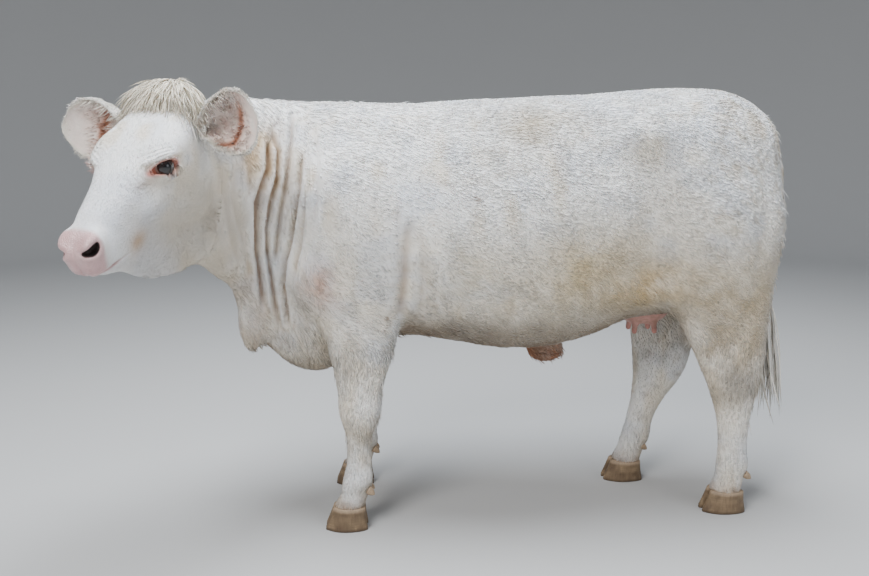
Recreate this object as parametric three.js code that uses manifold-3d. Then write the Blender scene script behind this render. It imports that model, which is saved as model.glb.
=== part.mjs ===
// A life-size white beef heifer, standing square with the head turned to the left side.
// Millimetres, +Z up, nose towards -X, the animal's left side towards -Y, hooves on Z = 0.
// The body is one smooth field, measured in the animal's own frame and parted with thin plane cuts.
import * as THREE from "three";
import { mergeVertices } from "three/addons/utils/BufferGeometryUtils.js";
import Module from "manifold-3d";

const wasm = await Module();
wasm.setup();

// Driving sizes of the animal
const GAP = 0.3; // clearance between neighbouring pieces
const HALF_GAP = GAP / 2;
const LEFT = -1; // sign of Y on the animal's left side
const RIGHT = 1;

const WITHERS_Z = 1278;
const RUMP_Z = 1322;
const BRISKET_Z = 462;

// Trunk and neck stations, from tail to throat: the spine's place on the ground plan, the top and
// under line, the half width, the height of the widest point, and how square the section is.
const TRUNK = [
  { x: 770, y: 0, top: 1130, low: 880, half: 66, wide: 1000, up: 2, down: 2 },
  { x: 740, y: 0, top: 1214, low: 745, half: 150, wide: 960, up: 2.1, down: 2.1 },
  { x: 685, y: 0, top: 1270, low: 660, half: 218, wide: 960, up: 2.2, down: 2.2 },
  { x: 600, y: 0, top: 1314, low: 615, half: 262, wide: 975, up: 2.3, down: 2.2 },
  { x: 480, y: 0, top: RUMP_Z, low: 618, half: 276, wide: 985, up: 2.45, down: 2.1 },
  { x: 330, y: 0, top: 1316, low: 600, half: 272, wide: 960, up: 2.4, down: 2.0 },
  { x: 200, y: 0, top: 1304, low: 552, half: 286, wide: 905, up: 2.15, down: 2.1 },
  { x: 60, y: 0, top: 1298, low: 522, half: 306, wide: 880, up: 2.05, down: 2.2 },
  { x: -90, y: 0, top: 1290, low: 522, half: 312, wide: 875, up: 2.0, down: 2.25 },
  { x: -230, y: 0, top: 1284, low: 545, half: 296, wide: 880, up: 1.95, down: 2.2 },
  { x: -350, y: 0, top: 1275, low: 560, half: 262, wide: 890, up: 1.9, down: 2.1 },
  { x: -470, y: 0, top: 1277, low: 545, half: 236, wide: 900, up: 1.8, down: 2.0 },
  { x: -590, y: 0, top: WITHERS_Z, low: 484, half: 216, wide: 880, up: 1.8, down: 1.75 },
  { x: -680, y: -4, top: 1279, low: BRISKET_Z, half: 184, wide: 880, up: 1.85, down: 1.55 },
  { x: -765, y: -30, top: 1282, low: 500, half: 142, wide: 925, up: 1.95, down: 1.3 },
  { x: -832, y: -84, top: 1283, low: 592, half: 114, wide: 985, up: 2.0, down: 1.15 },
  { x: -880, y: -150, top: 1280, low: 728, half: 104, wide: 1035, up: 2.1, down: 1.3 },
  { x: -915, y: -222, top: 1268, low: 786, half: 100, wide: 1070, up: 2.2, down: 1.8 },
  { x: -945, y: -300, top: 1245, low: 850, half: 92, wide: 1080, up: 2.2, down: 2.0 },
];

// Head: where the crest of the poll is, how far the face turns and dips, and the length of the skull.
const POLL = new THREE.Vector3(-1000, -335, 1268);
const HEAD_TURN = THREE.MathUtils.degToRad(68);
const HEAD_DIP = THREE.MathUtils.degToRad(37.5);

// Head stations along the face, measured from the poll: profile above and below the face line.
const FACE = [
  { a: -34, top: -22, low: -150, half: 62, wide: -70, up: 2.2, down: 2 },
  { a: 0, top: 0, low: -205, half: 86, wide: -70, up: 2.6, down: 2 },
  { a: 55, top: 8, low: -250, half: 103, wide: -75, up: 2.8, down: 1.9 },
  { a: 115, top: 12, low: -268, half: 112, wide: -70, up: 2.9, down: 1.7 },
  { a: 180, top: 8, low: -264, half: 112, wide: -62, up: 2.8, down: 1.7 },
  { a: 240, top: -3, low: -243, half: 95, wide: -70, up: 2.5, down: 1.9 },
  { a: 305, top: -14, low: -216, half: 74, wide: -85, up: 2.4, down: 2.1 },
  { a: 370, top: -24, low: -192, half: 61, wide: -90, up: 2.4, down: 2.2 },
  { a: 425, top: -34, low: -172, half: 53, wide: -95, up: 2.4, down: 2.3 },
  { a: 468, top: -50, low: -158, half: 47, wide: -102, up: 2.3, down: 2.3 },
  { a: 500, top: -82, low: -142, half: 32, wide: -114, up: 2.1, down: 2.1 },
];

// Leg stations by height: fore edge, hind edge, centre line and half width. Y is measured outwards.
const FORE_LEG = [
  { z: 860, fore: -664, hind: -390, y: 142, half: 66 },
  { z: 720, fore: -652, hind: -380, y: 150, half: 72 },
  { z: 620, fore: -622, hind: -396, y: 154, half: 68 },
  { z: 540, fore: -606, hind: -412, y: 156, half: 60 },
  { z: 470, fore: -592, hind: -434, y: 158, half: 50 },
  { z: 415, fore: -584, hind: -447, y: 160, half: 46 },
  { z: 365, fore: -582, hind: -450, y: 161, half: 46 },
  { z: 325, fore: -572, hind: -462, y: 162, half: 41 },
  { z: 280, fore: -560, hind: -480, y: 163, half: 31 },
  { z: 200, fore: -560, hind: -482, y: 165, half: 30 },
  { z: 145, fore: -573, hind: -478, y: 166, half: 39 },
  { z: 105, fore: -578, hind: -492, y: 167, half: 39 },
  { z: 66, fore: -600, hind: -504, y: 168, half: 47 },
  { z: 20, fore: -612, hind: -508, y: 168, half: 47 },
];
const HIND_LEG = [
  { z: 1090, fore: 420, hind: 730, y: 120, half: 96 },
  { z: 940, fore: 390, hind: 748, y: 138, half: 122 },
  { z: 800, fore: 385, hind: 746, y: 148, half: 118 },
  { z: 700, fore: 400, hind: 740, y: 152, half: 96 },
  { z: 620, fore: 456, hind: 736, y: 152, half: 76 },
  { z: 550, fore: 494, hind: 736, y: 150, half: 60 },
  { z: 490, fore: 524, hind: 736, y: 148, half: 49 },
  { z: 430, fore: 552, hind: 730, y: 146, half: 46 },
  { z: 370, fore: 577, hind: 716, y: 144, half: 43 },
  { z: 300, fore: 598, hind: 706, y: 143, half: 37 },
  { z: 210, fore: 608, hind: 704, y: 142, half: 35 },
  { z: 150, fore: 606, hind: 710, y: 142, half: 42 },
  { z: 108, fore: 602, hind: 698, y: 142, half: 42 },
  { z: 66, fore: 588, hind: 690, y: 142, half: 48 },
  { z: 20, fore: 578, hind: 686, y: 142, half: 48 },
];

// How each leg differs from those stations: its side, how far all of it and its foot are set aft,
// how far the foot is set outwards, and how far the hock of a leg drawn forward stands out behind.
const LEGS = {
  fore_left: { stations: FORE_LEG, side: LEFT, shift: 0, bottom: 0, out: 12, hock: 0 },
  fore_right: { stations: FORE_LEG, side: RIGHT, shift: 4, bottom: 12, out: -6, hock: 0 },
  hind_left: { stations: HIND_LEG, side: LEFT, shift: 0, bottom: 0, out: 0, hock: 0 },
  hind_right: { stations: HIND_LEG, side: RIGHT, shift: -20, bottom: -225, out: -14, hock: 36 },
};
const LEG_TOP_Z = 900; // above this height a leg's shift no longer grows
const HOCK = { z: 370, reach: 90 };

// Small maths
const clamp01 = (v) => Math.min(1, Math.max(0, v));
const smooth = (v) => v * v * (3 - 2 * v);
const lerp = (a, b, t) => a + (b - a) * t;

// Catmull-Rom value of one field of a list of stations at a place between station i and i + 1.
function between(stations, field, i, t) {
  const at = (k) => stations[Math.min(stations.length - 1, Math.max(0, k))][field];
  const [p0, p1, p2, p3] = [at(i - 1), at(i), at(i + 1), at(i + 2)];
  const bend = 2 * p0 - 5 * p1 + 4 * p2 - p3;
  return p1 + 0.5 * t * (p2 - p0 + t * (bend + t * (3 * p1 - p0 - 3 * p2 + p3)));
}

// Smooth union of two distances, rounded over the radius k.
function join(a, b, k) {
  const h = Math.max(k - Math.abs(a - b), 0) / k;
  return Math.min(a, b) - (h * h * k) / 4;
}

// Distance from the centre of a section to its edge, as a signed distance of the point.
function sectionDistance(d, z, half, top, low, wide, up, down) {
  const reach = z > wide ? top - wide : wide - low;
  const power = z > wide ? up : down;
  const v = Math.abs(z - wide) / reach;
  const rho = Math.pow(Math.pow(Math.abs(d) / half, power) + Math.pow(v, power), 1 / power);
  const r = Math.hypot(d, z - wide);
  return r < 1e-6 ? -Math.min(half, reach) : r - r / Math.max(rho, 1e-6);
}

// Distance to a swept form whose section is `round` away, for a point `past` the end of the sweep.
const capped = (round, past) => (past === 0 ? round : Math.hypot(Math.max(round, 0), past));

function ellipsoidDistance(x, y, z, rx, ry, rz) {
  const k0 = Math.hypot(x / rx, y / ry, z / rz);
  const k1 = Math.hypot(x / (rx * rx), y / (ry * ry), z / (rz * rz));
  return k1 < 1e-9 ? -Math.min(rx, ry, rz) : (k0 * (k0 - 1)) / k1;
}

// The trunk and neck, sliced finely along the ground plan of the spine.
const SLICES_A_STATION = 5;
const SECTION_FIELDS = ["top", "low", "half", "wide", "up", "down"];
function slicesOf(stations, place) {
  const slices = [];
  for (let i = 0; i < stations.length - 1; i++)
    for (let k = 0; k < SLICES_A_STATION; k++)
      slices.push(sliceAt(stations, place, i, k / SLICES_A_STATION));
  slices.push(sliceAt(stations, place, stations.length - 2, 1));
  return slices;
}
function sliceAt(stations, place, i, t) {
  const slice = {};
  for (const field of [...place, ...SECTION_FIELDS])
    slice[field] = between(stations, field, i, t);
  return slice;
}
const TRUNK_SLICES = slicesOf(TRUNK, ["x", "y"]);

function trunkDistance(p) {
  let best = Infinity;
  let found = null;
  for (let i = 0; i < TRUNK_SLICES.length - 1; i++) {
    const a = TRUNK_SLICES[i];
    const b = TRUNK_SLICES[i + 1];
    const ex = b.x - a.x;
    const ey = b.y - a.y;
    const t = clamp01(((p.x - a.x) * ex + (p.y - a.y) * ey) / (ex * ex + ey * ey));
    const dx = p.x - a.x - ex * t;
    const dy = p.y - a.y - ey * t;
    const d = dx * dx + dy * dy;
    if (d < best) {
      best = d;
      found = { a, b, t, past: (dx * ex + dy * ey) / Math.hypot(ex, ey) };
      if ((t > 0 || i > 0) && (t < 1 || i < TRUNK_SLICES.length - 2)) found.past = 0;
    }
  }
  const across = Math.sqrt(Math.max(0, best - found.past * found.past));
  const at = (field) => lerp(found.a[field], found.b[field], found.t);
  const round = sectionDistance(
    across, p.z, at("half"), at("top"), at("low"), at("wide"), at("up"), at("down"),
  );
  return capped(round, found.past);
}

// The head's own axes: along the face, up out of the forehead and towards the animal's left.
const heading = new THREE.Vector3(-Math.cos(HEAD_TURN), -Math.sin(HEAD_TURN), 0);
const vertical = new THREE.Vector3(0, 0, 1);
const ALONG = heading.clone().multiplyScalar(Math.cos(HEAD_DIP))
  .addScaledVector(vertical, -Math.sin(HEAD_DIP));
const UP = heading.clone().multiplyScalar(Math.sin(HEAD_DIP))
  .addScaledVector(vertical, Math.cos(HEAD_DIP));
const SIDE = new THREE.Vector3(Math.sin(HEAD_TURN), -Math.cos(HEAD_TURN), 0);
const headPoint = (a, u, l) =>
  POLL.clone().addScaledVector(ALONG, a).addScaledVector(UP, u).addScaledVector(SIDE, l);

const FACE_SLICES = slicesOf(FACE, ["a"]);
const HEAD_LUMPS = [
  { name: "crest", a: 4, u: -12, l: 0, ra: 44, ru: 34, rl: 74, k: 40 },
  { name: "brow", a: 180, u: -34, l: 78, ra: 50, ru: 28, rl: 32, k: 34 },
  { name: "cheek", a: 118, u: -165, l: 62, ra: 98, ru: 92, rl: 44, k: 40 },
  { name: "cheek_bone", a: 250, u: -112, l: 62, ra: 80, ru: 28, rl: 26, k: 36 },
  { name: "muzzle", a: 460, u: -98, l: 13, ra: 54, ru: 50, rl: 37, k: 24 },
  { name: "wing", a: 464, u: -68, l: 34, ra: 32, ru: 22, rl: 15, k: 18 },
  { name: "lip", a: 472, u: -122, l: 13, ra: 40, ru: 24, rl: 33, k: 18 },
  { name: "chin", a: 430, u: -152, l: 10, ra: 50, ru: 26, rl: 33, k: 20 },
];

function headDistance(p) {
  const v = p.clone().sub(POLL);
  const a = v.dot(ALONG);
  const u = v.dot(UP);
  const l = v.dot(SIDE);
  const first = FACE[0].a;
  const last = FACE[FACE.length - 1].a;
  const inside = Math.min(last, Math.max(first, a));
  let i = 0;
  while (i < FACE_SLICES.length - 2 && FACE_SLICES[i + 1].a < inside) i++;
  const t = clamp01((inside - FACE_SLICES[i].a) / (FACE_SLICES[i + 1].a - FACE_SLICES[i].a));
  const at = (field) => lerp(FACE_SLICES[i][field], FACE_SLICES[i + 1][field], t);
  const past = Math.abs(a - inside);
  let d = capped(
    sectionDistance(l, u, at("half"), at("top"), at("low"), at("wide"), at("up"), at("down")),
    past,
  );
  for (const s of HEAD_LUMPS) {
    const lump = ellipsoidDistance(a - s.a, Math.abs(l) - s.l, u - s.u, s.ra, s.rl, s.ru);
    d = join(d, lump, s.k);
  }
  return d;
}

function legDistance(p, leg) {
  const st = leg.stations;
  const low = st[st.length - 1].z;
  const z = Math.min(st[0].z, Math.max(low, p.z));
  let i = 0;
  while (i < st.length - 2 && st[i + 1].z > z) i++;
  const t = (st[i].z - z) / (st[i].z - st[i + 1].z);
  const shift = lerp(leg.bottom + leg.shift, leg.shift, smooth(clamp01(z / LEG_TOP_Z)));
  const fore = between(st, "fore", i, t) + shift;
  const point = leg.hock * Math.exp(-(((z - HOCK.z) / HOCK.reach) ** 2));
  const hind = between(st, "hind", i, t) + shift + point;
  const half = between(st, "half", i, t);
  const y = leg.side * (between(st, "y", i, t) + leg.out * (1 - clamp01(z / LEG_TOP_Z)));
  const cx = (fore + hind) / 2;
  const rx = (hind - fore) / 2;
  const rho = Math.hypot((p.x - cx) / rx, (p.y - y) / half);
  const r = Math.hypot(p.x - cx, p.y - y);
  const round = r < 1e-6 ? -half : r - r / Math.max(rho, 1e-6);
  return capped(round, p.z - z);
}

// Muscles and folds laid over the trunk: centre, radii, blend, and whether both sides have one.
const LUMPS = [
  { name: "shoulder", x: -520, y: 168, z: 900, rx: 150, ry: 88, rz: 230, k: 70, both: true },
  { name: "point_of_shoulder", x: -650, y: 130, z: 790, rx: 80, ry: 66, rz: 110, k: 60, both: true },
  { name: "brisket", x: -650, y: 0, z: 560, rx: 110, ry: 84, rz: 104, k: 60 },
  { name: "hip", x: 330, y: 190, z: 1170, rx: 90, ry: 64, rz: 60, k: 70, both: true },
  { name: "rump", x: 560, y: 130, z: 1150, rx: 170, ry: 110, rz: 120, k: 70, both: true },
  { name: "thigh", x: 584, y: 158, z: 900, rx: 162, ry: 124, rz: 210, k: 80, both: true },
  { name: "navel", x: 78, y: 0, z: 500, rx: 62, ry: 20, rz: 42, k: 34 },
  { name: "flank_fold", x: 330, y: 190, z: 730, rx: 120, ry: 34, rz: 46, k: 60, both: true },
];
const LEG_BLEND = 46;
const HEAD_BLEND = 46;
// Loose skin hanging in thin folds: under the jaws, and the dewlap at the front of the brisket.
const FOLDS = [
  { name: "throat", x: -1005, y: -400, z: 895, turn: 68, length: 185, half: 30, deep: 86, k: 50 },
  { name: "dewlap", x: -836, y: -94, z: 640, turn: 54, length: 56, half: 26, deep: 108, k: 46 },
];
for (const fold of FOLDS) {
  const turn = THREE.MathUtils.degToRad(fold.turn);
  fold.along = new THREE.Vector3(-Math.cos(turn), -Math.sin(turn), 0);
  fold.across = new THREE.Vector3(Math.sin(turn), -Math.cos(turn), 0);
  fold.centre = new THREE.Vector3(fold.x, fold.y, fold.z);
}
function bodyDistance(p) {
  let d = trunkDistance(p);
  for (const s of LUMPS) {
    const y = s.both ? Math.abs(p.y) : p.y;
    d = join(d, ellipsoidDistance(p.x - s.x, y - s.y, p.z - s.z, s.rx, s.ry, s.rz), s.k);
  }
  for (const leg of Object.values(LEGS)) d = join(d, legDistance(p, leg), LEG_BLEND);
  d = join(d, headDistance(p), HEAD_BLEND);
  for (const s of FOLDS) {
    const v = p.clone().sub(s.centre);
    const flap = ellipsoidDistance(v.dot(s.along), v.dot(s.across), v.z, s.length, s.half, s.deep);
    d = join(d, flap, s.k);
  }
  return d;
}

// Turns a field into a mesh: one point in each grid cell that the surface crosses, then drawn onto
// the surface and evened out.
const RELAX = { rounds: 3, reach: 0.75, even: 0.5 }; // its reach is a share of a cell
const SLOPE_STEP = 1.5;
const LEAST_SLOPE = 0.2;
function meshField(field, lo, hi, cell) {
  const n = [0, 1, 2].map((k) => Math.ceil((hi[k] - lo[k]) / cell) + 1);
  const index = (i, j, k) => (k * n[1] + j) * n[0] + i;
  const value = new Float32Array(n[0] * n[1] * n[2]);
  const p = new THREE.Vector3();
  const corner = (i, j, k) => p.set(lo[0] + i * cell, lo[1] + j * cell, lo[2] + k * cell);
  const rim = (i, j, k) =>
    i === 0 || j === 0 || k === 0 || i === n[0] - 1 || j === n[1] - 1 || k === n[2] - 1;
  for (let k = 0; k < n[2]; k++)
    for (let j = 0; j < n[1]; j++)
      for (let i = 0; i < n[0]; i++)
        value[index(i, j, k)] = rim(i, j, k)
          ? Math.max(cell / 2, field(corner(i, j, k)))
          : field(corner(i, j, k));
  const points = [];
  const cellPoint = new Map();
  for (let k = 0; k < n[2] - 1; k++)
    for (let j = 0; j < n[1] - 1; j++)
      for (let i = 0; i < n[0] - 1; i++) {
        const sum = new THREE.Vector3();
        let crossings = 0;
        for (let axis = 0; axis < 3; axis++)
          for (let s = 0; s < 4; s++) {
            const base = [0, 0, 0];
            base[(axis + 1) % 3] = s & 1;
            base[(axis + 2) % 3] = s >> 1;
            const other = [...base];
            other[axis] = 1;
            const va = value[index(i + base[0], j + base[1], k + base[2])];
            const vb = value[index(i + other[0], j + other[1], k + other[2])];
            if (va < 0 === vb < 0) continue;
            base[axis] = va / (va - vb);
            sum.add(new THREE.Vector3(i + base[0], j + base[1], k + base[2]));
            crossings++;
          }
        if (!crossings) continue;
        cellPoint.set(index(i, j, k), points.length);
        points.push(sum.multiplyScalar(cell / crossings).add(new THREE.Vector3(...lo)));
      }
  const quads = [];
  for (let k = 0; k < n[2] - 1; k++)
    for (let j = 0; j < n[1] - 1; j++)
      for (let i = 0; i < n[0] - 1; i++)
        for (let axis = 0; axis < 3; axis++) {
          const step = [0, 0, 0];
          step[axis] = 1;
          const va = value[index(i, j, k)];
          const vb = value[index(i + step[0], j + step[1], k + step[2])];
          if (va < 0 === vb < 0) continue;
          const u = [0, 0, 0];
          const v = [0, 0, 0];
          u[(axis + 1) % 3] = 1;
          v[(axis + 2) % 3] = 1;
          const cellAt = (a, b) =>
            cellPoint.get(index(i - a * u[0] - b * v[0], j - a * u[1] - b * v[1], k - a * u[2] - b * v[2]));
          const quad = [cellAt(1, 1), cellAt(0, 1), cellAt(0, 0), cellAt(1, 0)];
          quads.push(va < 0 ? quad : quad.reverse());
        }
  const near = points.map(() => []);
  for (const q of quads)
    for (let s = 0; s < 4; s++) {
      near[q[s]].push(q[(s + 1) % 4]);
      near[q[(s + 1) % 4]].push(q[s]);
    }
  const reach = cell * RELAX.reach;
  for (let round = 0; round < RELAX.rounds; round++) {
    const before = points.map((q) => q.clone());
    points.forEach((q, i) => {
      const mean = new THREE.Vector3();
      for (const m of near[i]) mean.add(before[m]);
      if (round < RELAX.rounds - 1) q.lerp(mean.divideScalar(near[i].length), RELAX.even);
      drawOnto(field, q, reach);
    });
  }
  const indices = [];
  for (const [a, b, c, d] of quads)
    if (points[a].distanceToSquared(points[c]) < points[b].distanceToSquared(points[d]))
      indices.push(a, b, c, a, c, d);
    else indices.push(a, b, d, b, c, d);
  return solidFrom(points, indices);
}

function drawOnto(field, q, reach) {
  const d = field(q);
  const slope = new THREE.Vector3();
  const probe = new THREE.Vector3();
  for (const axis of ["x", "y", "z"]) {
    probe.copy(q)[axis] += SLOPE_STEP;
    slope[axis] = (field(probe) - d) / SLOPE_STEP;
  }
  const steep = Math.max(slope.lengthSq(), LEAST_SLOPE);
  const move = slope.multiplyScalar(-d / steep);
  q.add(move.clampLength(0, reach));
}

// Solids: points and triangles to a closed solid, and the cuts made with it.
function solidFrom(points, indices) {
  const vertProperties = new Float32Array(points.length * 3);
  points.forEach((q, i) => q.toArray(vertProperties, i * 3));
  const mesh = new wasm.Mesh({ numProp: 3, vertProperties, triVerts: new Uint32Array(indices) });
  mesh.merge();
  return new wasm.Manifold(mesh);
}
function solidOf(geometry, matrix = new THREE.Matrix4()) {
  const bare = geometry.clone().applyMatrix4(matrix);
  bare.deleteAttribute("normal");
  bare.deleteAttribute("uv");
  const merged = mergeVertices(bare, 1e-3);
  const { array } = merged.attributes.position;
  return new wasm.Manifold(
    new wasm.Mesh({ numProp: 3, vertProperties: array, triVerts: new Uint32Array(merged.index.array) }),
  );
}
// A half space as a very large block: all that lies behind the plane, seen along its normal.
const FAR = 3000;
const NO_TURN = new THREE.Quaternion();
const UNIT = new THREE.Vector3(1, 1, 1);
function behind(point, normal, slack = -HALF_GAP) {
  const facing = normal.clone().normalize();
  const turn = new THREE.Quaternion().setFromUnitVectors(vertical, facing);
  const place = point.clone().addScaledVector(facing, slack - FAR / 2);
  return solidOf(new THREE.BoxGeometry(FAR, FAR, FAR), new THREE.Matrix4().compose(place, turn, UNIT));
}
function boxBetween(lo, hi) {
  const size = hi.map((v, k) => v - lo[k]);
  const middle = hi.map((v, k) => (v + lo[k]) / 2);
  return solidOf(
    new THREE.BoxGeometry(...size),
    new THREE.Matrix4().compose(new THREE.Vector3(...middle), NO_TURN, UNIT),
  );
}
const grown = ([lo, hi], by) => [lo.map((v) => v - by), hi.map((v) => v + by)];
const largest = (solid) => solid.decompose().sort((a, b) => b.volume() - a.volume())[0];

// A closed tube through rings of points, with a flat or pointed end at either side.
function loft(rings) {
  const points = rings.flat();
  const n = rings[0].length;
  const indices = [];
  for (let i = 0; i < rings.length - 1; i++)
    for (let k = 0; k < n; k++) {
      const [a, b] = [i * n + k, i * n + ((k + 1) % n)];
      indices.push(a, b, b + n, a, b + n, a + n);
    }
  const centreOf = (ring) =>
    ring.reduce((sum, q) => sum.add(q), new THREE.Vector3()).divideScalar(ring.length);
  const first = points.push(centreOf(rings[0])) - 1;
  const last = points.push(centreOf(rings[rings.length - 1])) - 1;
  const end = (rings.length - 1) * n;
  for (let k = 0; k < n; k++) {
    indices.push(first, (k + 1) % n, k);
    indices.push(last, end + k, end + ((k + 1) % n));
  }
  const solid = solidFrom(points, indices);
  return solid.volume() > 0 ? solid : solidFrom(points, flipped(indices));
}
function flipped(indices) {
  const turned = [];
  for (let i = 0; i < indices.length; i += 3) turned.push(indices[i], indices[i + 2], indices[i + 1]);
  return turned;
}

// Where the body parts: planes across the neck and trunk, and boxes round the legs.
const THROAT_CUT = { point: new THREE.Vector3(-950, -236, 1050), normal: new THREE.Vector3(-0.4, -0.91, 0) };
const NECK_X = -700;
const SHOULDER_X = -330;
const HIP_X = 290;
const ELBOW_Z = 560;
const KNEE_Z = 335;
const STIFLE_Z = 600;
const HOCK_Z = 440;
const PASTERN_Z = 70;
const FORE_INNER = 88;
const HIND_INNER = 52;
const BELOW = -50;
const OUTSIDE = 420;
const legBox = (fore, hind, inner, top, side) => {
  const ys = side === LEFT ? [-OUTSIDE, -inner] : [inner, OUTSIDE];
  return [[fore, ys[0], BELOW], [hind, ys[1], top]];
};
const LEG_BOXES = {
  fore_left: legBox(-700, -385, FORE_INNER, ELBOW_Z, LEFT),
  fore_right: legBox(-700, -360, FORE_INNER, ELBOW_Z, RIGHT),
  hind_left: legBox(380, 860, HIND_INNER, STIFLE_Z, LEFT),
  hind_right: legBox(240, 860, HIND_INNER, STIFLE_Z, RIGHT),
};
const TRUNK_CELL = 62;
const NECK_CELL = 36;
const HEAD_CELL = 22;
const LEG_CELL = 31;
const MARGIN = 40;

const slab = (from, to) =>
  boxBetween([from + HALF_GAP, -FAR, -FAR], [to - HALF_GAP, FAR, FAR]);
function trunkPart(from, to, boxes) {
  let solid = meshField(bodyDistance, [from - MARGIN, -620, 380], [to + MARGIN, 420, 1400], TRUNK_CELL);
  solid = solid.intersect(slab(from, to));
  for (const name of boxes) solid = solid.subtract(boxBetween(...grown(LEG_BOXES[name], HALF_GAP)));
  return solid;
}

const parts = {};
parts.shoulders = trunkPart(NECK_X, SHOULDER_X, ["fore_left", "fore_right"]);
parts.barrel = trunkPart(SHOULDER_X, HIP_X, ["hind_right"]);
parts.hindquarters = trunkPart(HIP_X, 900, ["hind_left", "hind_right"]);

const neckField = meshField(bodyDistance, [-1120, -560, 420], [NECK_X + MARGIN, 260, 1400], NECK_CELL);
const backward = THROAT_CUT.normal.clone().negate();
parts.neck = neckField
  .intersect(slab(-FAR / 2, NECK_X))
  .intersect(behind(THROAT_CUT.point, THROAT_CUT.normal));

// Ears: crescent sections along each ear, the cup opening forwards. Each section has its half width,
// how deep the cup is for that width, how thick its wall is, and how far round the crescent reaches.
const EAR = {
  root: { a: 36, u: -72, l: 102 },
  length: 214,
  ring: 10,
  thinning: 0.6, // part of the wall's thickness that the rim loses
  sections: [
    { s: 0, half: 34, cup: 1.0, wall: 27, round: 165 },
    { s: 0.13, half: 42, cup: 0.92, wall: 19, round: 138 },
    { s: 0.3, half: 66, cup: 0.72, wall: 12, round: 112 },
    { s: 0.5, half: 80, cup: 0.5, wall: 9, round: 98 },
    { s: 0.7, half: 77, cup: 0.4, wall: 8, round: 90 },
    { s: 0.86, half: 58, cup: 0.34, wall: 7, round: 84 },
    { s: 0.96, half: 30, cup: 0.3, wall: 6, round: 76 },
    { s: 1, half: 10, cup: 0.3, wall: 5, round: 66 },
  ],
};
// Which way each ear reaches from the head, and which way its cup opens.
const EARS = {
  left: { side: 1, reach: new THREE.Vector3(0.73, -0.66, 0.1), open: new THREE.Vector3(-0.3, -0.93, -0.1) },
  right: { side: -1, reach: new THREE.Vector3(-0.97, 0.22, 0), open: new THREE.Vector3(-0.1, -0.97, -0.12) },
};
function earRing(section, frame) {
  const centre = frame.root.clone().addScaledVector(frame.axis, section.s * EAR.length);
  const reach = THREE.MathUtils.degToRad(section.round);
  const outer = [];
  const inner = [];
  for (let i = 0; i <= EAR.ring; i++) {
    const angle = lerp(-reach, reach, i / EAR.ring);
    const point = (r) => centre.clone()
      .addScaledVector(frame.across, r * Math.sin(angle))
      .addScaledVector(frame.open, -r * Math.cos(angle) * section.cup);
    const toRim = Math.pow(Math.abs((2 * i) / EAR.ring - 1), 6);
    outer.push(point(section.half));
    inner.push(point(section.half - section.wall * (1 - EAR.thinning * toRim)));
  }
  return [...outer, ...inner.reverse()];
}
function buildEar(ear) {
  const axis = ear.reach.clone().normalize();
  const across = new THREE.Vector3().crossVectors(ear.open, axis).normalize();
  const open = new THREE.Vector3().crossVectors(axis, across).normalize();
  const root = headPoint(EAR.root.a, EAR.root.u, EAR.root.l * ear.side);
  const frame = { axis, across, open, root };
  const solid = loft(EAR.sections.map((section) => earRing(section, frame)));
  return { solid: solid.intersect(behind(root, axis.clone().negate())), frame };
}
const leftEar = buildEar(EARS.left);
const rightEar = buildEar(EARS.right);
parts.ear_left = leftEar.solid;
parts.ear_right = rightEar.solid;

// The seat an ear stands on: a block cut from the head, its floor on the plane of the ear's root.
const SEAT = 110;
function earSeat({ root, axis }) {
  const turn = new THREE.Quaternion().setFromUnitVectors(vertical, axis);
  const place = root.clone().addScaledVector(axis, SEAT / 2 - HALF_GAP);
  return solidOf(new THREE.BoxGeometry(SEAT, SEAT, SEAT), new THREE.Matrix4().compose(place, turn, UNIT));
}

// Eyes: globes set in the head behind a raised almond of lid, its front corner the lower one.
const EYE = { a: 210, u: -56, l: 85, radius: 22 };
const LID = { long: 31, tall: 18, thick: 6, out: 15, corner: 12, slant: 0.25, steps: 18, round: 6 };
const LID_GAPE = { long: 23, tall: 11, deep: 18, out: 24, round: 10 };
const eyeCentre = (side) => headPoint(EYE.a, EYE.u, EYE.l * side);
function lidRing(side) {
  const rings = [];
  for (let i = 0; i < LID.steps; i++) {
    const angle = (i / LID.steps) * Math.PI * 2;
    const a = LID.long * Math.cos(angle);
    const u = LID.tall * Math.sin(angle) - a * LID.slant;
    const out = LID.out - Math.abs(Math.cos(angle)) * LID.corner;
    const centre = headPoint(EYE.a + a, EYE.u + u, (EYE.l + out) * side);
    const away = UP.clone().multiplyScalar(Math.sin(angle))
      .addScaledVector(ALONG, Math.cos(angle)).normalize();
    const ring = [];
    for (let k = 0; k < LID.round; k++) {
      const turn = (k / LID.round) * Math.PI * 2;
      ring.push(centre.clone()
        .addScaledVector(away, LID.thick * Math.cos(turn))
        .addScaledVector(SIDE, 2 * LID.thick * Math.sin(turn) * side));
    }
    rings.push(ring);
  }
  return closedLoop(rings);
}
// The opening between the lids, an almond that lets the globe show.
function lidGape(side) {
  const basis = new THREE.Matrix4().makeBasis(ALONG, UP, SIDE.clone().negate());
  const place = basis.setPosition(headPoint(EYE.a, EYE.u, (EYE.l + LID_GAPE.out) * side))
    .multiply(new THREE.Matrix4().makeScale(LID_GAPE.long, LID_GAPE.tall, LID_GAPE.deep));
  return solidOf(new THREE.SphereGeometry(1, LID_GAPE.round, LID_GAPE.round / 2), place);
}
function closedLoop(rings) {
  const n = rings[0].length;
  const indices = [];
  rings.forEach((_, i) => {
    const next = ((i + 1) % rings.length) * n;
    for (let k = 0; k < n; k++) {
      const [a, b] = [i * n + k, i * n + ((k + 1) % n)];
      const [c, d] = [next + k, next + ((k + 1) % n)];
      indices.push(a, b, d, a, d, c);
    }
  });
  const solid = solidFrom(rings.flat(), indices);
  return solid.volume() > 0 ? solid : solidFrom(rings.flat(), flipped(indices));
}
const GLOBE_ROUND = 12;
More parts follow.
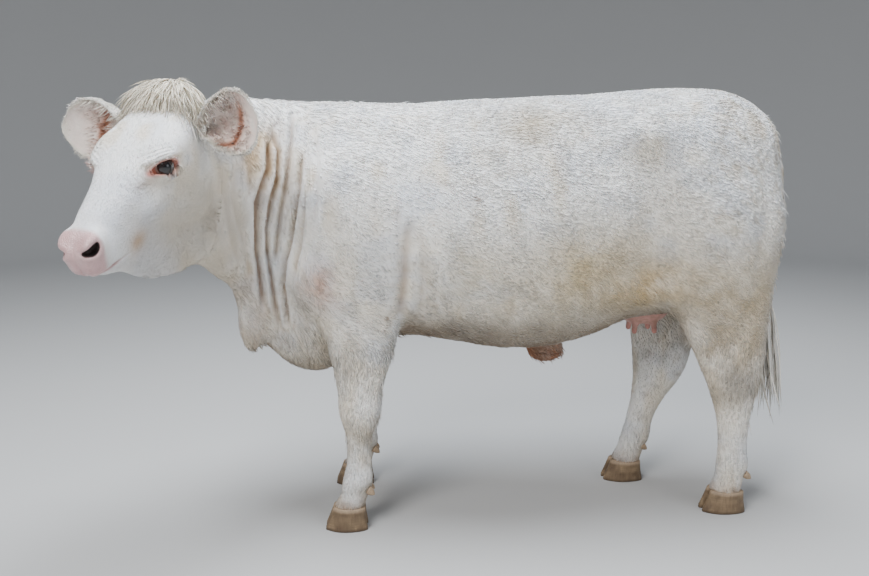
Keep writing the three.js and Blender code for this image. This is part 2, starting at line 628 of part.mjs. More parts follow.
const globe = (centre, radius) =>
  solidOf(
    new THREE.SphereGeometry(radius, GLOBE_ROUND, GLOBE_ROUND / 2),
    new THREE.Matrix4().compose(centre, NO_TURN, UNIT),
  );

// Nostrils: a short bent passage cut from the muzzle.
const NOSTRIL = { a: 484, u: -77, l: 34, long: 17, tall: 10, deep: 26, turn: 0.55 };
const NOSTRIL_ROUND = 12;
function nostril(side) {
  const centre = headPoint(NOSTRIL.a, NOSTRIL.u, NOSTRIL.l * side);
  const axis = ALONG.clone().addScaledVector(SIDE, NOSTRIL.turn * side).normalize();
  const across = new THREE.Vector3().crossVectors(axis, UP).normalize();
  const basis = new THREE.Matrix4().makeBasis(across, new THREE.Vector3().crossVectors(axis, across), axis);
  const place = basis.clone().setPosition(centre)
    .multiply(new THREE.Matrix4().makeScale(NOSTRIL.long, NOSTRIL.tall, NOSTRIL.deep));
  return solidOf(new THREE.SphereGeometry(1, NOSTRIL_ROUND, NOSTRIL_ROUND / 2), place);
}

// The mouth: a thin slit round the front of the muzzle, from corner to corner.
const MOUTH = [
  { a: 378, u: -146 },
  { a: 420, u: -141 },
  { a: 460, u: -136 },
  { a: 530, u: -134 },
];
const MOUTH_OPEN = 2;
const LIP_DEPTH = 12;
const MUZZLE = { back: 300, front: 488, half: 50, top: -80, low: -220, clear: 90 };
function mouthSlit() {
  const rings = MOUTH.map(({ a, u }) => [
    headPoint(a, u + MOUTH_OPEN, -MUZZLE.clear),
    headPoint(a, u - MOUTH_OPEN, -MUZZLE.clear),
    headPoint(a, u - MOUTH_OPEN, MUZZLE.clear),
    headPoint(a, u + MOUTH_OPEN, MUZZLE.clear),
  ]);
  const within = MUZZLE.half - LIP_DEPTH;
  const jaws = boxInHead(
    [MUZZLE.back, MUZZLE.low, -within],
    [MUZZLE.front - LIP_DEPTH, MUZZLE.top, within],
  );
  return loft(rings).subtract(jaws);
}
function boxInHead(lo, hi) {
  const corners = (a) => [
    headPoint(a, lo[1], lo[2]),
    headPoint(a, hi[1], lo[2]),
    headPoint(a, hi[1], hi[2]),
    headPoint(a, lo[1], hi[2]),
  ];
  return loft([corners(lo[0]), corners(hi[0])]);
}

let head = meshField(bodyDistance, [-1330, -860, 760], [-820, -140, 1360], HEAD_CELL)
  .intersect(behind(THROAT_CUT.point, backward));
for (const side of [1, -1])
  head = head
    .add(lidRing(side))
    .subtract(globe(eyeCentre(side), EYE.radius + GAP))
    .subtract(lidGape(side))
    .subtract(nostril(side));
head = head.subtract(mouthSlit());
head = head.subtract(earSeat(leftEar.frame)).subtract(earSeat(rightEar.frame));
parts.head = head;
parts.eye_left = globe(eyeCentre(1), EYE.radius);
parts.eye_right = globe(eyeCentre(-1), EYE.radius);

// Legs: each box of the body, parted at the knee or hock and at the pastern.
for (const [name, [lo, hi]] of Object.entries(LEG_BOXES)) {
  const from = [lo[0], lo[1], PASTERN_Z - MARGIN];
  const whole = meshField(bodyDistance, from, [hi[0], hi[1] + MARGIN, hi[2] + MARGIN], LEG_CELL);
  const bend = name.startsWith("fore") ? KNEE_Z : HOCK_Z;
  const cut = (bottom, top) =>
    whole.intersect(boxBetween(...grown([[lo[0], lo[1], bottom], [hi[0], hi[1], top]], -HALF_GAP)));
  parts[`leg_${name}_upper`] = cut(bend, hi[2]);
  parts[`leg_${name}_lower`] = cut(PASTERN_Z, bend);
}

// Hooves: two claws to a foot, each lofted from a flat sole to the coronet. Fore and hind are measured
// from the foot's own edges, and a claw narrows towards its toe.
const CLAW = {
  steps: 12,
  cleft: 2.5,
  flatness: 0.45, // how flat the wall along the cleft is: 1 is round, 0 is a straight wall
  toe: 0.35,
  levels: [
    { z: 0, fore: -24, hind: 8, width: 45 },
    { z: 10, fore: -23, hind: 7, width: 46 },
    { z: 38, fore: -11, hind: 2, width: 45 },
    { z: PASTERN_Z - GAP, fore: 1, hind: 0, width: 43 },
  ],
};
function claw(leg, inward) {
  const foot = leg.stations[leg.stations.length - 2];
  const shift = leg.bottom + leg.shift;
  const y = leg.side * (foot.y + leg.out);
  const rings = CLAW.levels.map((level) => {
    const fore = foot.fore + shift + level.fore;
    const hind = foot.hind + shift + level.hind;
    const ring = [];
    for (let k = 0; k < CLAW.steps; k++) {
      const angle = (k / CLAW.steps) * Math.PI * 2;
      const side = Math.sin(angle);
      const tip = Math.cos(angle);
      const wall = side < 0 ? -Math.pow(-side, CLAW.flatness) : side;
      const narrow = tip > 0 ? 1 - CLAW.toe * tip * tip : 1;
      const across = CLAW.cleft + (level.width * narrow * (1 + wall)) / 2;
      ring.push(new THREE.Vector3(lerp(hind, fore, (1 + tip) / 2), y + inward * across, level.z));
    }
    return ring;
  });
  return loft(rings);
}
for (const [name, leg] of Object.entries(LEGS)) {
  parts[`hoof_${name}_outer`] = claw(leg, leg.side);
  parts[`hoof_${name}_inner`] = claw(leg, -leg.side);
}

// Tail: a tapered tube down the cleft of the rump, its own flat root against the tail head.
const TAIL = [
  { x: 748, z: 1200, r: 34 },
  { x: 778, z: 1140, r: 31 },
  { x: 799, z: 1070, r: 28 },
  { x: 811, z: 960, r: 25 },
  { x: 812, z: 840, r: 23 },
  { x: 807, z: 720, r: 21 },
  { x: 803, z: 620, r: 19 },
  { x: 800, z: 550, r: 18 },
];
const TAIL_ROUND = 12;
const TAIL_Y = -4;
function tube(path, around, slack = 0) {
  const points = path.map((q) => new THREE.Vector3(q.x, q.y ?? TAIL_Y, q.z));
  const rings = points.map((q, i) => {
    const before = points[Math.max(0, i - 1)];
    const after = points[Math.min(points.length - 1, i + 1)];
    const along = after.clone().sub(before).normalize();
    const across = new THREE.Vector3(0, 1, 0).cross(along).normalize();
    const side = along.clone().cross(across);
    const ring = [];
    for (let k = 0; k < around; k++) {
      const angle = (k / around) * Math.PI * 2;
      ring.push(q.clone()
        .addScaledVector(across, (path[i].r + slack) * Math.cos(angle))
        .addScaledVector(side, (path[i].r + slack) * Math.sin(angle)));
    }
    return ring;
  });
  return loft(rings);
}
parts.tail = tube(TAIL, TAIL_ROUND);
parts.hindquarters = parts.hindquarters.subtract(tube(TAIL, TAIL_ROUND, GAP));

// Udder: a low pad sunk between the thighs, its flat top against the belly, with four short teats.
const UDDER = { x: 392, z: 626, length: 92, half: 62, deep: 50, round: 12 };
const TEAT = { radius: 11, long: 34, along: 30, across: 30, sunk: 6, round: 7, caps: 2 };
function udderBowl(slack) {
  const size = new THREE.Vector3(UDDER.length, UDDER.half, UDDER.deep).addScalar(slack);
  const place = new THREE.Matrix4().compose(new THREE.Vector3(UDDER.x, 0, UDDER.z), NO_TURN, size);
  return solidOf(new THREE.SphereGeometry(1, UDDER.round, UDDER.round / 2), place)
    .intersect(behind(new THREE.Vector3(0, 0, UDDER.z), vertical, slack - HALF_GAP));
}
function udder() {
  let solid = udderBowl(0);
  const upright = new THREE.Quaternion().setFromAxisAngle(new THREE.Vector3(1, 0, 0), Math.PI / 2);
  const teat = new THREE.CapsuleGeometry(TEAT.radius, TEAT.long, TEAT.caps, TEAT.round);
  for (const dx of [-1, 1])
    for (const dy of [-1, 1]) {
      const z = UDDER.z - UDDER.deep + TEAT.sunk;
      const place = new THREE.Vector3(UDDER.x + dx * TEAT.along, dy * TEAT.across, z);
      solid = solid.add(solidOf(teat, new THREE.Matrix4().compose(place, upright, UNIT)));
    }
  return solid;
}
parts.udder = udder();
parts.hindquarters = parts.hindquarters.subtract(udderBowl(GAP));

// Locks: flat tapered strands of four sides that leave along `out` and turn over towards `bend`.
const LOCK = { steps: 4, tip: 0.06, taper: 1.6, rise: 0.62, fall: 0.9 };
function lock({ root, out, bend, length, width, thick }) {
  const rings = [];
  const across = new THREE.Vector3().crossVectors(out, bend).normalize();
  for (let i = 0; i <= LOCK.steps; i++) {
    const t = i / LOCK.steps;
    const turn = (t * Math.PI) / 2;
    const taper = Math.max(LOCK.tip, 1 - Math.pow(t, LOCK.taper));
    const centre = root.clone()
      .addScaledVector(out, length * LOCK.rise * Math.sin(turn))
      .addScaledVector(bend, length * LOCK.fall * (1 - Math.cos(turn)));
    const along = out.clone().multiplyScalar(LOCK.rise * Math.cos(turn))
      .addScaledVector(bend, LOCK.fall * Math.sin(turn)).normalize();
    const face = new THREE.Vector3().crossVectors(across, along).normalize();
    const corner = (direction, size) => centre.clone().addScaledVector(direction, (size / 2) * taper);
    rings.push([corner(across, -width), corner(face, thick), corner(across, width), corner(face, -thick)]);
  }
  return loft(rings);
}
const mix = (along, up, side) =>
  ALONG.clone().multiplyScalar(along).addScaledVector(UP, up).addScaledVector(SIDE, side).normalize();

// Poll tuft: a low core on the crest, under three rows of locks that sweep forward over the forehead.
const TUFT = { a: -10, u: 2, long: 48, tall: 34, wide: 80, round: 16, forehead: 15, seat: 62 };
const TUFT_ROWS = [
  { a: 22, u: 6, reach: 62, locks: 5, length: 54, rise: 0.55 },
  { a: 2, u: 18, reach: 66, locks: 6, length: 66, rise: 0.7 },
  { a: -22, u: 18, reach: 58, locks: 5, length: 72, rise: 0.95 },
];
const TUFT_LOCK = { width: 36, thick: 13, forward: 0.6, spread: 0.28, drop: 0.22, uneven: 0.14, crown: 16 };
const TUFT_FIELD = 160; // how far to each side of the poll the tuft's cuts reach
function pollTuft() {
  const place = new THREE.Matrix4().makeBasis(ALONG, UP, SIDE.clone().negate())
    .setPosition(headPoint(TUFT.a, TUFT.u, 0))
    .multiply(new THREE.Matrix4().makeScale(TUFT.long, TUFT.tall, TUFT.wide));
  let tuft = solidOf(new THREE.SphereGeometry(1, TUFT.round, TUFT.round / 2), place);
  for (const row of TUFT_ROWS)
    for (let i = 0; i < row.locks; i++) {
      const t = (2 * i) / (row.locks - 1) - 1;
      const side = TUFT_LOCK.spread * t;
      tuft = tuft.add(lock({
        root: headPoint(row.a, row.u - TUFT_LOCK.crown * t * t, row.reach * t),
        out: mix(TUFT_LOCK.forward, row.rise, side),
        bend: mix(1, -TUFT_LOCK.drop, side),
        length: row.length * (1 - TUFT_LOCK.uneven * (i % 2)),
        width: TUFT_LOCK.width,
        thick: TUFT_LOCK.thick,
      }));
    }
  const above = boxInHead(
    [-TUFT_FIELD, TUFT.u + HALF_GAP, -TUFT_FIELD],
    [TUFT_FIELD + TUFT.seat, TUFT_FIELD, TUFT_FIELD],
  );
  const overForehead = boxInHead(
    [TUFT.seat - GAP, -TUFT_FIELD, -TUFT_FIELD],
    [TUFT_FIELD + TUFT.seat, TUFT.forehead, TUFT_FIELD],
  );
  return tuft.intersect(above).subtract(overForehead);
}
parts.poll_tuft = pollTuft();
parts.head = parts.head.subtract(boxInHead(
  [-TUFT_FIELD, TUFT.u - HALF_GAP, -TUFT_FIELD],
  [TUFT.seat, TUFT_FIELD, TUFT_FIELD],
));

// Tail switch: two tiers of hanging locks round the end of the tail.
const SWITCH = { x: 800, z: 556, core: 17, sink: 16 };
const SWITCH_TIERS = [
  { locks: 4, drop: 14, ring: 8, length: 110, width: 26 },
  { locks: 3, drop: 30, ring: 4, length: 214, width: 34 },
];
const SWITCH_LOCK = { thick: 13, uneven: 0.12, flare: 0.12, pull: 0.05 };
function tailSwitch() {
  const root = new THREE.Vector3(SWITCH.x, TAIL_Y, SWITCH.z);
  let solid = globe(root.clone().add(new THREE.Vector3(0, 0, -SWITCH.sink)), SWITCH.core);
  SWITCH_TIERS.forEach((tier, level) => {
    for (let i = 0; i < tier.locks; i++) {
      const angle = ((i + level / 2) / tier.locks) * Math.PI * 2;
      const away = new THREE.Vector3(Math.cos(angle), Math.sin(angle), 0);
      const down = vertical.clone().negate();
      solid = solid.add(lock({
        root: root.clone().addScaledVector(away, tier.ring).addScaledVector(down, tier.drop),
        out: down.clone().addScaledVector(away, SWITCH_LOCK.flare).normalize(),
        bend: down.clone().addScaledVector(away, -SWITCH_LOCK.pull).normalize(),
        length: tier.length * (1 - SWITCH_LOCK.uneven * (i % 3)),
        width: tier.width,
        thick: SWITCH_LOCK.thick,
      }));
    }
  });
  return solid.intersect(behind(root, vertical));
}
parts.tail_switch = tailSwitch();
parts.tail = parts.tail.intersect(behind(new THREE.Vector3(0, 0, SWITCH.z), vertical.clone().negate()));

// Colours and names
const COLOURS = {
  coat: 0xe9e2d4,
  hoof: 0x8a7658,
  eye: 0x1d1a1c,
  skin: 0xd9a79c,
  hair: 0xe6dcc6,
  dusky: 0xb3a58c,
};
const ROUGHNESS = 0.8;
const colourOf = (name) => {
  if (name.startsWith("hoof")) return COLOURS.hoof;
  if (name.startsWith("eye")) return COLOURS.eye;
  if (name === "udder") return COLOURS.skin;
  if (name === "poll_tuft") return COLOURS.hair;
  if (name === "tail_switch") return COLOURS.dusky;
  return COLOURS.coat;
};

// Where two folds of one surface touch along an edge, each side's points are drawn a hair inwards.
const TOUCH = 0.01;
const PART_BY = 0.12;
function partFolds(geometry) {
  geometry.computeVertexNormals();
  const { position, normal } = geometry.attributes;
  const place = new THREE.Vector3();
  const inward = new THREE.Vector3();
  const groups = new Map();
  for (let i = 0; i < position.count; i++) {
    const key = place.fromBufferAttribute(position, i).divideScalar(TOUCH).round().toArray().join();
    groups.set(key, [...(groups.get(key) ?? []), i]);
  }
  for (const group of groups.values()) {
    if (group.length < 2) continue;
    for (const i of group) {
      inward.fromBufferAttribute(normal, i).multiplyScalar(-PART_BY);
      place.fromBufferAttribute(position, i).add(inward);
      position.setXYZ(i, place.x, place.y, place.z);
    }
  }
  geometry.deleteAttribute("normal");
}
function meshOf(name, solid) {
  const { vertProperties, triVerts } = largest(solid).getMesh();
  const geometry = new THREE.BufferGeometry();
  geometry.setAttribute("position", new THREE.BufferAttribute(vertProperties, 3));
  geometry.setIndex(new THREE.BufferAttribute(triVerts, 1));
  partFolds(geometry);
  const material = new THREE.MeshStandardMaterial({ color: colourOf(name), roughness: ROUGHNESS });
  const mesh = new THREE.Mesh(geometry, material);
  mesh.name = name;
  return mesh;
}

const animal = new THREE.Group();
animal.name = "heifer";
for (const [name, solid] of Object.entries(parts)) animal.add(meshOf(name, solid));
const bounds = new THREE.Box3().setFromObject(animal, true);
const centre = bounds.getCenter(new THREE.Vector3());
animal.position.set(-centre.x, -centre.y, -bounds.min.z);
export default animal;
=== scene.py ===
import bmesh
import bpy
import math
import numpy as np
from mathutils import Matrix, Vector


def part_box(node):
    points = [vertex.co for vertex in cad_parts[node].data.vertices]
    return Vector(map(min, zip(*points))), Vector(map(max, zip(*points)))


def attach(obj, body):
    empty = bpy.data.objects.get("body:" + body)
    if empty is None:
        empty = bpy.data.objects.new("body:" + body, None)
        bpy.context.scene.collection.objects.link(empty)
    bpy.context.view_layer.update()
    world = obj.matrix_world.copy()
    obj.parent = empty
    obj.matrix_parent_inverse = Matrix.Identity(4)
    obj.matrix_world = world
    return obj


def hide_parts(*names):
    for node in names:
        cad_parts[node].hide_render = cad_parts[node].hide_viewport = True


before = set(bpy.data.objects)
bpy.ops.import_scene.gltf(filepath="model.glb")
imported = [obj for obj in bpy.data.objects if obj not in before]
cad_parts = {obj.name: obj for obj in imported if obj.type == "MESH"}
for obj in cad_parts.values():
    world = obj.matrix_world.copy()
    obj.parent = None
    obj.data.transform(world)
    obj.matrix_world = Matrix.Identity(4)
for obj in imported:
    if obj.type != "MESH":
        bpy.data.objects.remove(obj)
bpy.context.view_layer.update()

# The animal's own sizes, in millimetres, in the frame it was measured in
LEFT, RIGHT = -1, 1
POLL = np.array([-1000.0, -335.0, 1268.0])
HEAD_TURN = math.radians(68)
HEAD_DIP = math.radians(37.5)
HEADING = np.array([-math.cos(HEAD_TURN), -math.sin(HEAD_TURN), 0.0])
VERTICAL = np.array([0.0, 0.0, 1.0])
ALONG = HEADING * math.cos(HEAD_DIP) - VERTICAL * math.sin(HEAD_DIP)
UP = HEADING * math.sin(HEAD_DIP) + VERTICAL * math.cos(HEAD_DIP)
SIDE = np.array([math.sin(HEAD_TURN), -math.cos(HEAD_TURN), 0.0])

SECTION = ("top", "low", "half", "wide", "up", "down")
TRUNK = [
    (770, 0, 1130, 880, 66, 1000, 2, 2),
    (740, 0, 1214, 745, 150, 960, 2.1, 2.1),
    (685, 0, 1270, 660, 218, 960, 2.2, 2.2),
    (600, 0, 1314, 615, 262, 975, 2.3, 2.2),
    (480, 0, 1322, 618, 276, 985, 2.45, 2.1),
    (330, 0, 1316, 600, 272, 960, 2.4, 2.0),
    (200, 0, 1304, 552, 286, 905, 2.15, 2.1),
    (60, 0, 1298, 522, 306, 880, 2.05, 2.2),
    (-90, 0, 1290, 522, 312, 875, 2.0, 2.25),
    (-230, 0, 1284, 545, 296, 880, 1.95, 2.2),
    (-350, 0, 1275, 560, 262, 890, 1.9, 2.1),
    (-470, 0, 1277, 545, 236, 900, 1.8, 2.0),
    (-590, 0, 1278, 484, 216, 880, 1.8, 1.75),
    (-680, -4, 1279, 462, 184, 880, 1.85, 1.55),
    (-765, -30, 1282, 500, 142, 925, 1.95, 1.3),
    (-832, -84, 1283, 592, 114, 985, 2.0, 1.15),
    (-880, -150, 1280, 728, 104, 1035, 2.1, 1.3),
    (-915, -222, 1268, 786, 100, 1070, 2.2, 1.8),
    (-945, -300, 1245, 850, 92, 1080, 2.2, 2.0),
]
FACE = [
    (-34, -22, -150, 62, -70, 2.2, 2),
    (0, 0, -205, 86, -70, 2.6, 2),
    (55, 8, -250, 103, -75, 2.8, 1.9),
    (115, 12, -268, 112, -70, 2.9, 1.7),
    (180, 8, -264, 112, -62, 2.8, 1.7),
    (240, -3, -243, 95, -70, 2.5, 1.9),
    (305, -14, -216, 74, -85, 2.4, 2.1),
    (370, -24, -192, 61, -90, 2.4, 2.2),
    (425, -34, -172, 53, -95, 2.4, 2.3),
    (468, -50, -158, 47, -102, 2.3, 2.3),
    (500, -82, -142, 32, -114, 2.1, 2.1),
]
FORE_LEG = [
    (860, -664, -390, 142, 66),
    (720, -652, -380, 150, 72),
    (620, -622, -396, 154, 68),
    (540, -606, -412, 156, 60),
    (470, -592, -434, 158, 50),
    (415, -584, -447, 160, 46),
    (365, -582, -450, 161, 46),
    (325, -572, -462, 162, 41),
    (280, -560, -480, 163, 31),
    (200, -560, -482, 165, 30),
    (145, -573, -478, 166, 39),
    (105, -578, -492, 167, 39),
    (66, -600, -504, 168, 47),
    (20, -612, -508, 168, 47),
]
HIND_LEG = [
    (1090, 420, 730, 120, 96),
    (940, 390, 748, 138, 122),
    (800, 385, 746, 148, 118),
    (700, 400, 740, 152, 96),
    (620, 456, 736, 152, 76),
    (550, 494, 736, 150, 60),
    (490, 524, 736, 148, 49),
    (430, 552, 730, 146, 46),
    (370, 577, 716, 144, 43),
    (300, 598, 706, 143, 37),
    (210, 608, 704, 142, 35),
    (150, 606, 710, 142, 42),
    (108, 602, 698, 142, 42),
    (66, 588, 690, 142, 48),
    (20, 578, 686, 142, 48),
]
# Each leg: stations, side, shift of the whole leg, further shift at the ground, set outwards, point of hock
LEGS = {
    "fore_left": (FORE_LEG, LEFT, 0, 0, 12, 0),
    "fore_right": (FORE_LEG, RIGHT, 4, 12, -6, 0),
    "hind_left": (HIND_LEG, LEFT, 0, 0, 0, 0),
    "hind_right": (HIND_LEG, RIGHT, -20, -225, -14, 36),
}
HOCK_Z, HOCK_REACH = 370.0, 90.0
LEG_TOP = 900.0
LEG_BLEND = 46.0
HEAD_BLEND = 46.0
# Head masses: centre along, up and sideways, their radii, and the blend
HEAD_LUMPS = {
    "crest": (4, -12, 0, 44, 34, 74, 40),
    "brow": (180, -34, 78, 50, 28, 32, 34),
    "cheek": (118, -165, 62, 98, 92, 44, 40),
    "cheek_bone": (250, -112, 62, 80, 28, 26, 36),
    "muzzle": (460, -98, 13, 54, 50, 37, 24),
    "wing": (464, -68, 34, 32, 22, 15, 18),
    "lip": (472, -122, 13, 40, 24, 33, 18),
    "chin": (430, -152, 10, 50, 26, 33, 20),
}
# Body masses: centre, radii, blend and whether both sides have one
BODY_LUMPS = {
    "shoulder": (-520, 168, 900, 150, 88, 230, 70, True),
    "point_of_shoulder": (-650, 130, 790, 80, 66, 110, 60, True),
    "brisket": (-650, 0, 560, 110, 84, 104, 60, False),
    "hip": (330, 190, 1170, 90, 64, 60, 70, True),
    "rump": (560, 130, 1150, 170, 110, 120, 70, True),
    "thigh": (584, 158, 900, 162, 124, 210, 80, True),
    "navel": (78, 0, 500, 62, 20, 42, 34, False),
    "flank_fold": (330, 190, 730, 120, 34, 46, 60, True),
}
# Loose folds of skin: centre, turn, radii along, across and upright, and the blend
FOLDS = {
    "throat": ((-1005, -400, 895), 68, (185, 30, 86), 50),
    "dewlap": ((-836, -94, 640), 54, (56, 26, 108), 46),
}
TAIL = [(748, 1200, 34), (778, 1140, 31), (799, 1070, 28), (811, 960, 25), (812, 840, 23), (807, 720, 21),
        (803, 620, 19), (800, 550, 18)]
TAIL_Y = -4.0
# The tail lies behind, beside the middle and above these
TAIL_BOX = (640, 140, 470)
FAR_AWAY = 999.0
TAIL_BLEND = 14.0
# The dome that the poll tuft grows on: centre along, up and sideways, its radii, and the blend
DOME = (-10, 2, 0, 50, 29, 82, 24)
EYE = {"a": 210, "u": -56, "l": 85, "radius": 22}
CORONET_Z = 62.0
COAT_DEPTH = 3.0
MM = 0.001


def clamp01(v):
    return np.clip(v, 0.0, 1.0)


def smooth_step(v):
    v = clamp01(v)
    return v * v * (3 - 2 * v)


def rising(v, start, width):
    """Nought up to the start, then smoothly up to one over the width."""
    return smooth_step((v - start) / width)


def falling(v, end, width):
    """One until the width before the end, then smoothly down to nought."""
    return smooth_step((end - v) / width)


def bell(v, middle, width):
    return np.exp(-(((v - middle) / width) ** 2))


def spot(*ways):
    """A soft spot: for each way, the value, its middle and its width."""
    total = 0.0
    for v, middle, width in ways:
        total = total - ((v - middle) / width) ** 2
    return np.exp(total)


def join(a, b, k):
    """Smooth union of two distances, rounded over the radius k."""
    h = np.maximum(k - np.abs(a - b), 0) / k
    return np.minimum(a, b) - h * h * k / 4


def carve(a, b, k):
    """What is left of the form a once the form b is scooped out, with a rounded edge."""
    return -join(-a, b, k)


def ellipsoid(x, y, z, rx, ry, rz):
    k0 = np.sqrt((x / rx) ** 2 + (y / ry) ** 2 + (z / rz) ** 2)
    k1 = np.sqrt((x / rx**2) ** 2 + (y / ry**2) ** 2 + (z / rz**2) ** 2)
    return k0 * (k0 - 1) / np.maximum(k1, 1e-9)


def spline(values, i, t):
    """Catmull-Rom value between the stations i and i + 1."""
    last = len(values) - 1
    p0, p1 = values[np.maximum(i - 1, 0)], values[i]
    p2, p3 = values[np.minimum(i + 1, last)], values[np.minimum(i + 2, last)]
    bend = 2 * p0 - 5 * p1 + 4 * p2 - p3
    return p1 + 0.5 * t * (p2 - p0 + t * (bend + t * (3 * p1 - p0 - 3 * p2 + p3)))


def section_distance(d, z, s):
    above = z > s["wide"]
    reach = np.where(above, s["top"] - s["wide"], s["wide"] - s["low"])
    power = np.where(above, s["up"], s["down"])
    v = np.abs(z - s["wide"]) / reach
    rho = (np.abs(d / s["half"]) ** power + v**power) ** (1 / power)
    r = np.hypot(d, z - s["wide"])
    return r - r / np.maximum(rho, 1e-6)


def capped(inner, past):
    return np.where(past == 0, inner, np.hypot(np.maximum(inner, 0), past))


SLICES_A_STATION = 5


def sliced(table, place):
    """The stations of a table, cut finely: one array for each of its columns."""
    names = place + SECTION
    columns = {name: np.array([row[k] for row in table], float) for k, name in enumerate(names)}
    steps = np.arange((len(table) - 1) * SLICES_A_STATION + 1) / SLICES_A_STATION
    i = np.minimum(steps.astype(int), len(table) - 2)
    return {name: spline(values, i, steps - i) for name, values in columns.items()}


TRUNK_SLICES = sliced(TRUNK, ("x", "y"))
FACE_SLICES = sliced(FACE, ("a",))


def spine_place(p):
    """Where each point lies against the spine: its slice, how far between, across and past the end."""
    sx, sy = TRUNK_SLICES["x"], TRUNK_SLICES["y"]
    best = np.full(len(p), np.inf)
    where = np.zeros(len(p), int)
    part = np.zeros(len(p))
    past = np.zeros(len(p))
    last = len(sx) - 2
    for i in range(len(sx) - 1):
        ex, ey = sx[i + 1] - sx[i], sy[i + 1] - sy[i]
        length = math.hypot(ex, ey)
        rx, ry = p[:, 0] - sx[i], p[:, 1] - sy[i]
        t = clamp01((rx * ex + ry * ey) / length**2)
        dx, dy = rx - ex * t, ry - ey * t
        d = dx * dx + dy * dy
        near = d < best
        best = np.where(near, d, best)
        where = np.where(near, i, where)
        part = np.where(near, t, part)
        over = (dx * ex + dy * ey) / length
        at_end = ((t == 0) & (i == 0)) | ((t == 1) & (i == last))
        past = np.where(near, np.where(at_end, over, 0.0), past)
    across = np.sqrt(np.maximum(best - past**2, 0))
    return where, part, across, past


def trunk_distance(p):
    where, part, across, past = spine_place(p)
    s = {}
    for name in SECTION:
        values = TRUNK_SLICES[name]
        s[name] = values[where] + (values[where + 1] - values[where]) * part
    return capped(section_distance(across, p[:, 2], s), past)


def head_place(p):
    v = p - POLL
    return v @ ALONG, v @ UP, v @ SIDE


def head_point(a, u, l):
    return POLL + ALONG * a + UP * u + SIDE * l


def head_distance(p):
    a, u, l = head_place(p)
    stations = FACE_SLICES["a"]
    inside = np.clip(a, stations[0], stations[-1])
    i = np.clip(np.searchsorted(stations, inside) - 1, 0, len(stations) - 2)
    t = (inside - stations[i]) / (stations[i + 1] - stations[i])
    s = {name: FACE_SLICES[name][i] + (FACE_SLICES[name][i + 1] - FACE_SLICES[name][i]) * t
         for name in SECTION}
    d = capped(section_distance(l, u, s), a - inside)
    for ca, cu, cl, ra, ru, rl, k in HEAD_LUMPS.values():
        d = join(d, ellipsoid(a - ca, np.abs(l) - cl, u - cu, ra, rl, ru), k)
    return d


def leg_distance(p, stations, side, whole, ground, out, hock):
    table = np.array(stations, float)
    heights = table[:, 0]
    z = np.clip(p[:, 2], heights[-1], heights[0])
    i = np.clip(len(heights) - 1 - np.searchsorted(heights[::-1], z), 0, len(heights) - 2)
    t = (heights[i] - z) / (heights[i] - heights[i + 1])
    rise = clamp01(z / LEG_TOP)
    shift = whole + ground * (1 - smooth_step(rise))
    fore = spline(table[:, 1], i, t) + shift
    hind = spline(table[:, 2], i, t) + shift + hock * bell(z, HOCK_Z, HOCK_REACH)
    y = side * (spline(table[:, 3], i, t) + out * (1 - rise))
    half = spline(table[:, 4], i, t)
    cx, rx = (fore + hind) / 2, (hind - fore) / 2
    rho = np.hypot((p[:, 0] - cx) / rx, (p[:, 1] - y) / half)
    r = np.hypot(p[:, 0] - cx, p[:, 1] - y)
    return capped(r - r / np.maximum(rho, 1e-6), p[:, 2] - z)


def fold_distance(p, centre, turn, radii):
    turn = math.radians(turn)
    v = p - np.array(centre)
    along = -v[:, 0] * math.cos(turn) - v[:, 1] * math.sin(turn)
    across = v[:, 0] * math.sin(turn) - v[:, 1] * math.cos(turn)
    return ellipsoid(along, across, v[:, 2], *radii)


def tail_distance(p):
    d = np.full(len(p), FAR_AWAY)
    near = (p[:, 0] > TAIL_BOX[0]) & (np.abs(p[:, 1]) < TAIL_BOX[1]) & (p[:, 2] > TAIL_BOX[2])
    q = p[near]
    close = np.full(len(q), FAR_AWAY)
    for (x0, z0, r0), (x1, z1, r1) in zip(TAIL, TAIL[1:]):
        run = np.array([x1 - x0, 0.0, z1 - z0])
        v = q - (x0, TAIL_Y, z0)
        t = clamp01(v @ run / (run @ run))
        close = np.minimum(close, np.linalg.norm(v - t[:, None] * run, axis=1) - (r0 + (r1 - r0) * t))
    d[near] = close
    return d


def flesh_distance(p):
    """The whole animal without its small folds, in millimetres, set in by the depth of the coat."""
    d = trunk_distance(p)
    for cx, cy, cz, rx, ry, rz, k, both in BODY_LUMPS.values():
        y = np.abs(p[:, 1]) if both else p[:, 1]
        d = join(d, ellipsoid(p[:, 0] - cx, y - cy, p[:, 2] - cz, rx, ry, rz), k)
    for leg in LEGS.values():
        d = join(d, leg_distance(p, *leg), LEG_BLEND)
    d = join(d, head_distance(p), HEAD_BLEND)
    for centre, turn, radii, k in FOLDS.values():
        d = join(d, fold_distance(p, centre, turn, radii), k)
    a, u, l = head_place(p)
    ca, cu, cl, ra, ru, rl, k = DOME
    d = join(d, ellipsoid(a - ca, l - cl, u - cu, ra, rl, ru), k)
    d = join(d, tail_distance(p), TAIL_BLEND)
    return np.maximum(d + COAT_DEPTH, CORONET_Z - p[:, 2])

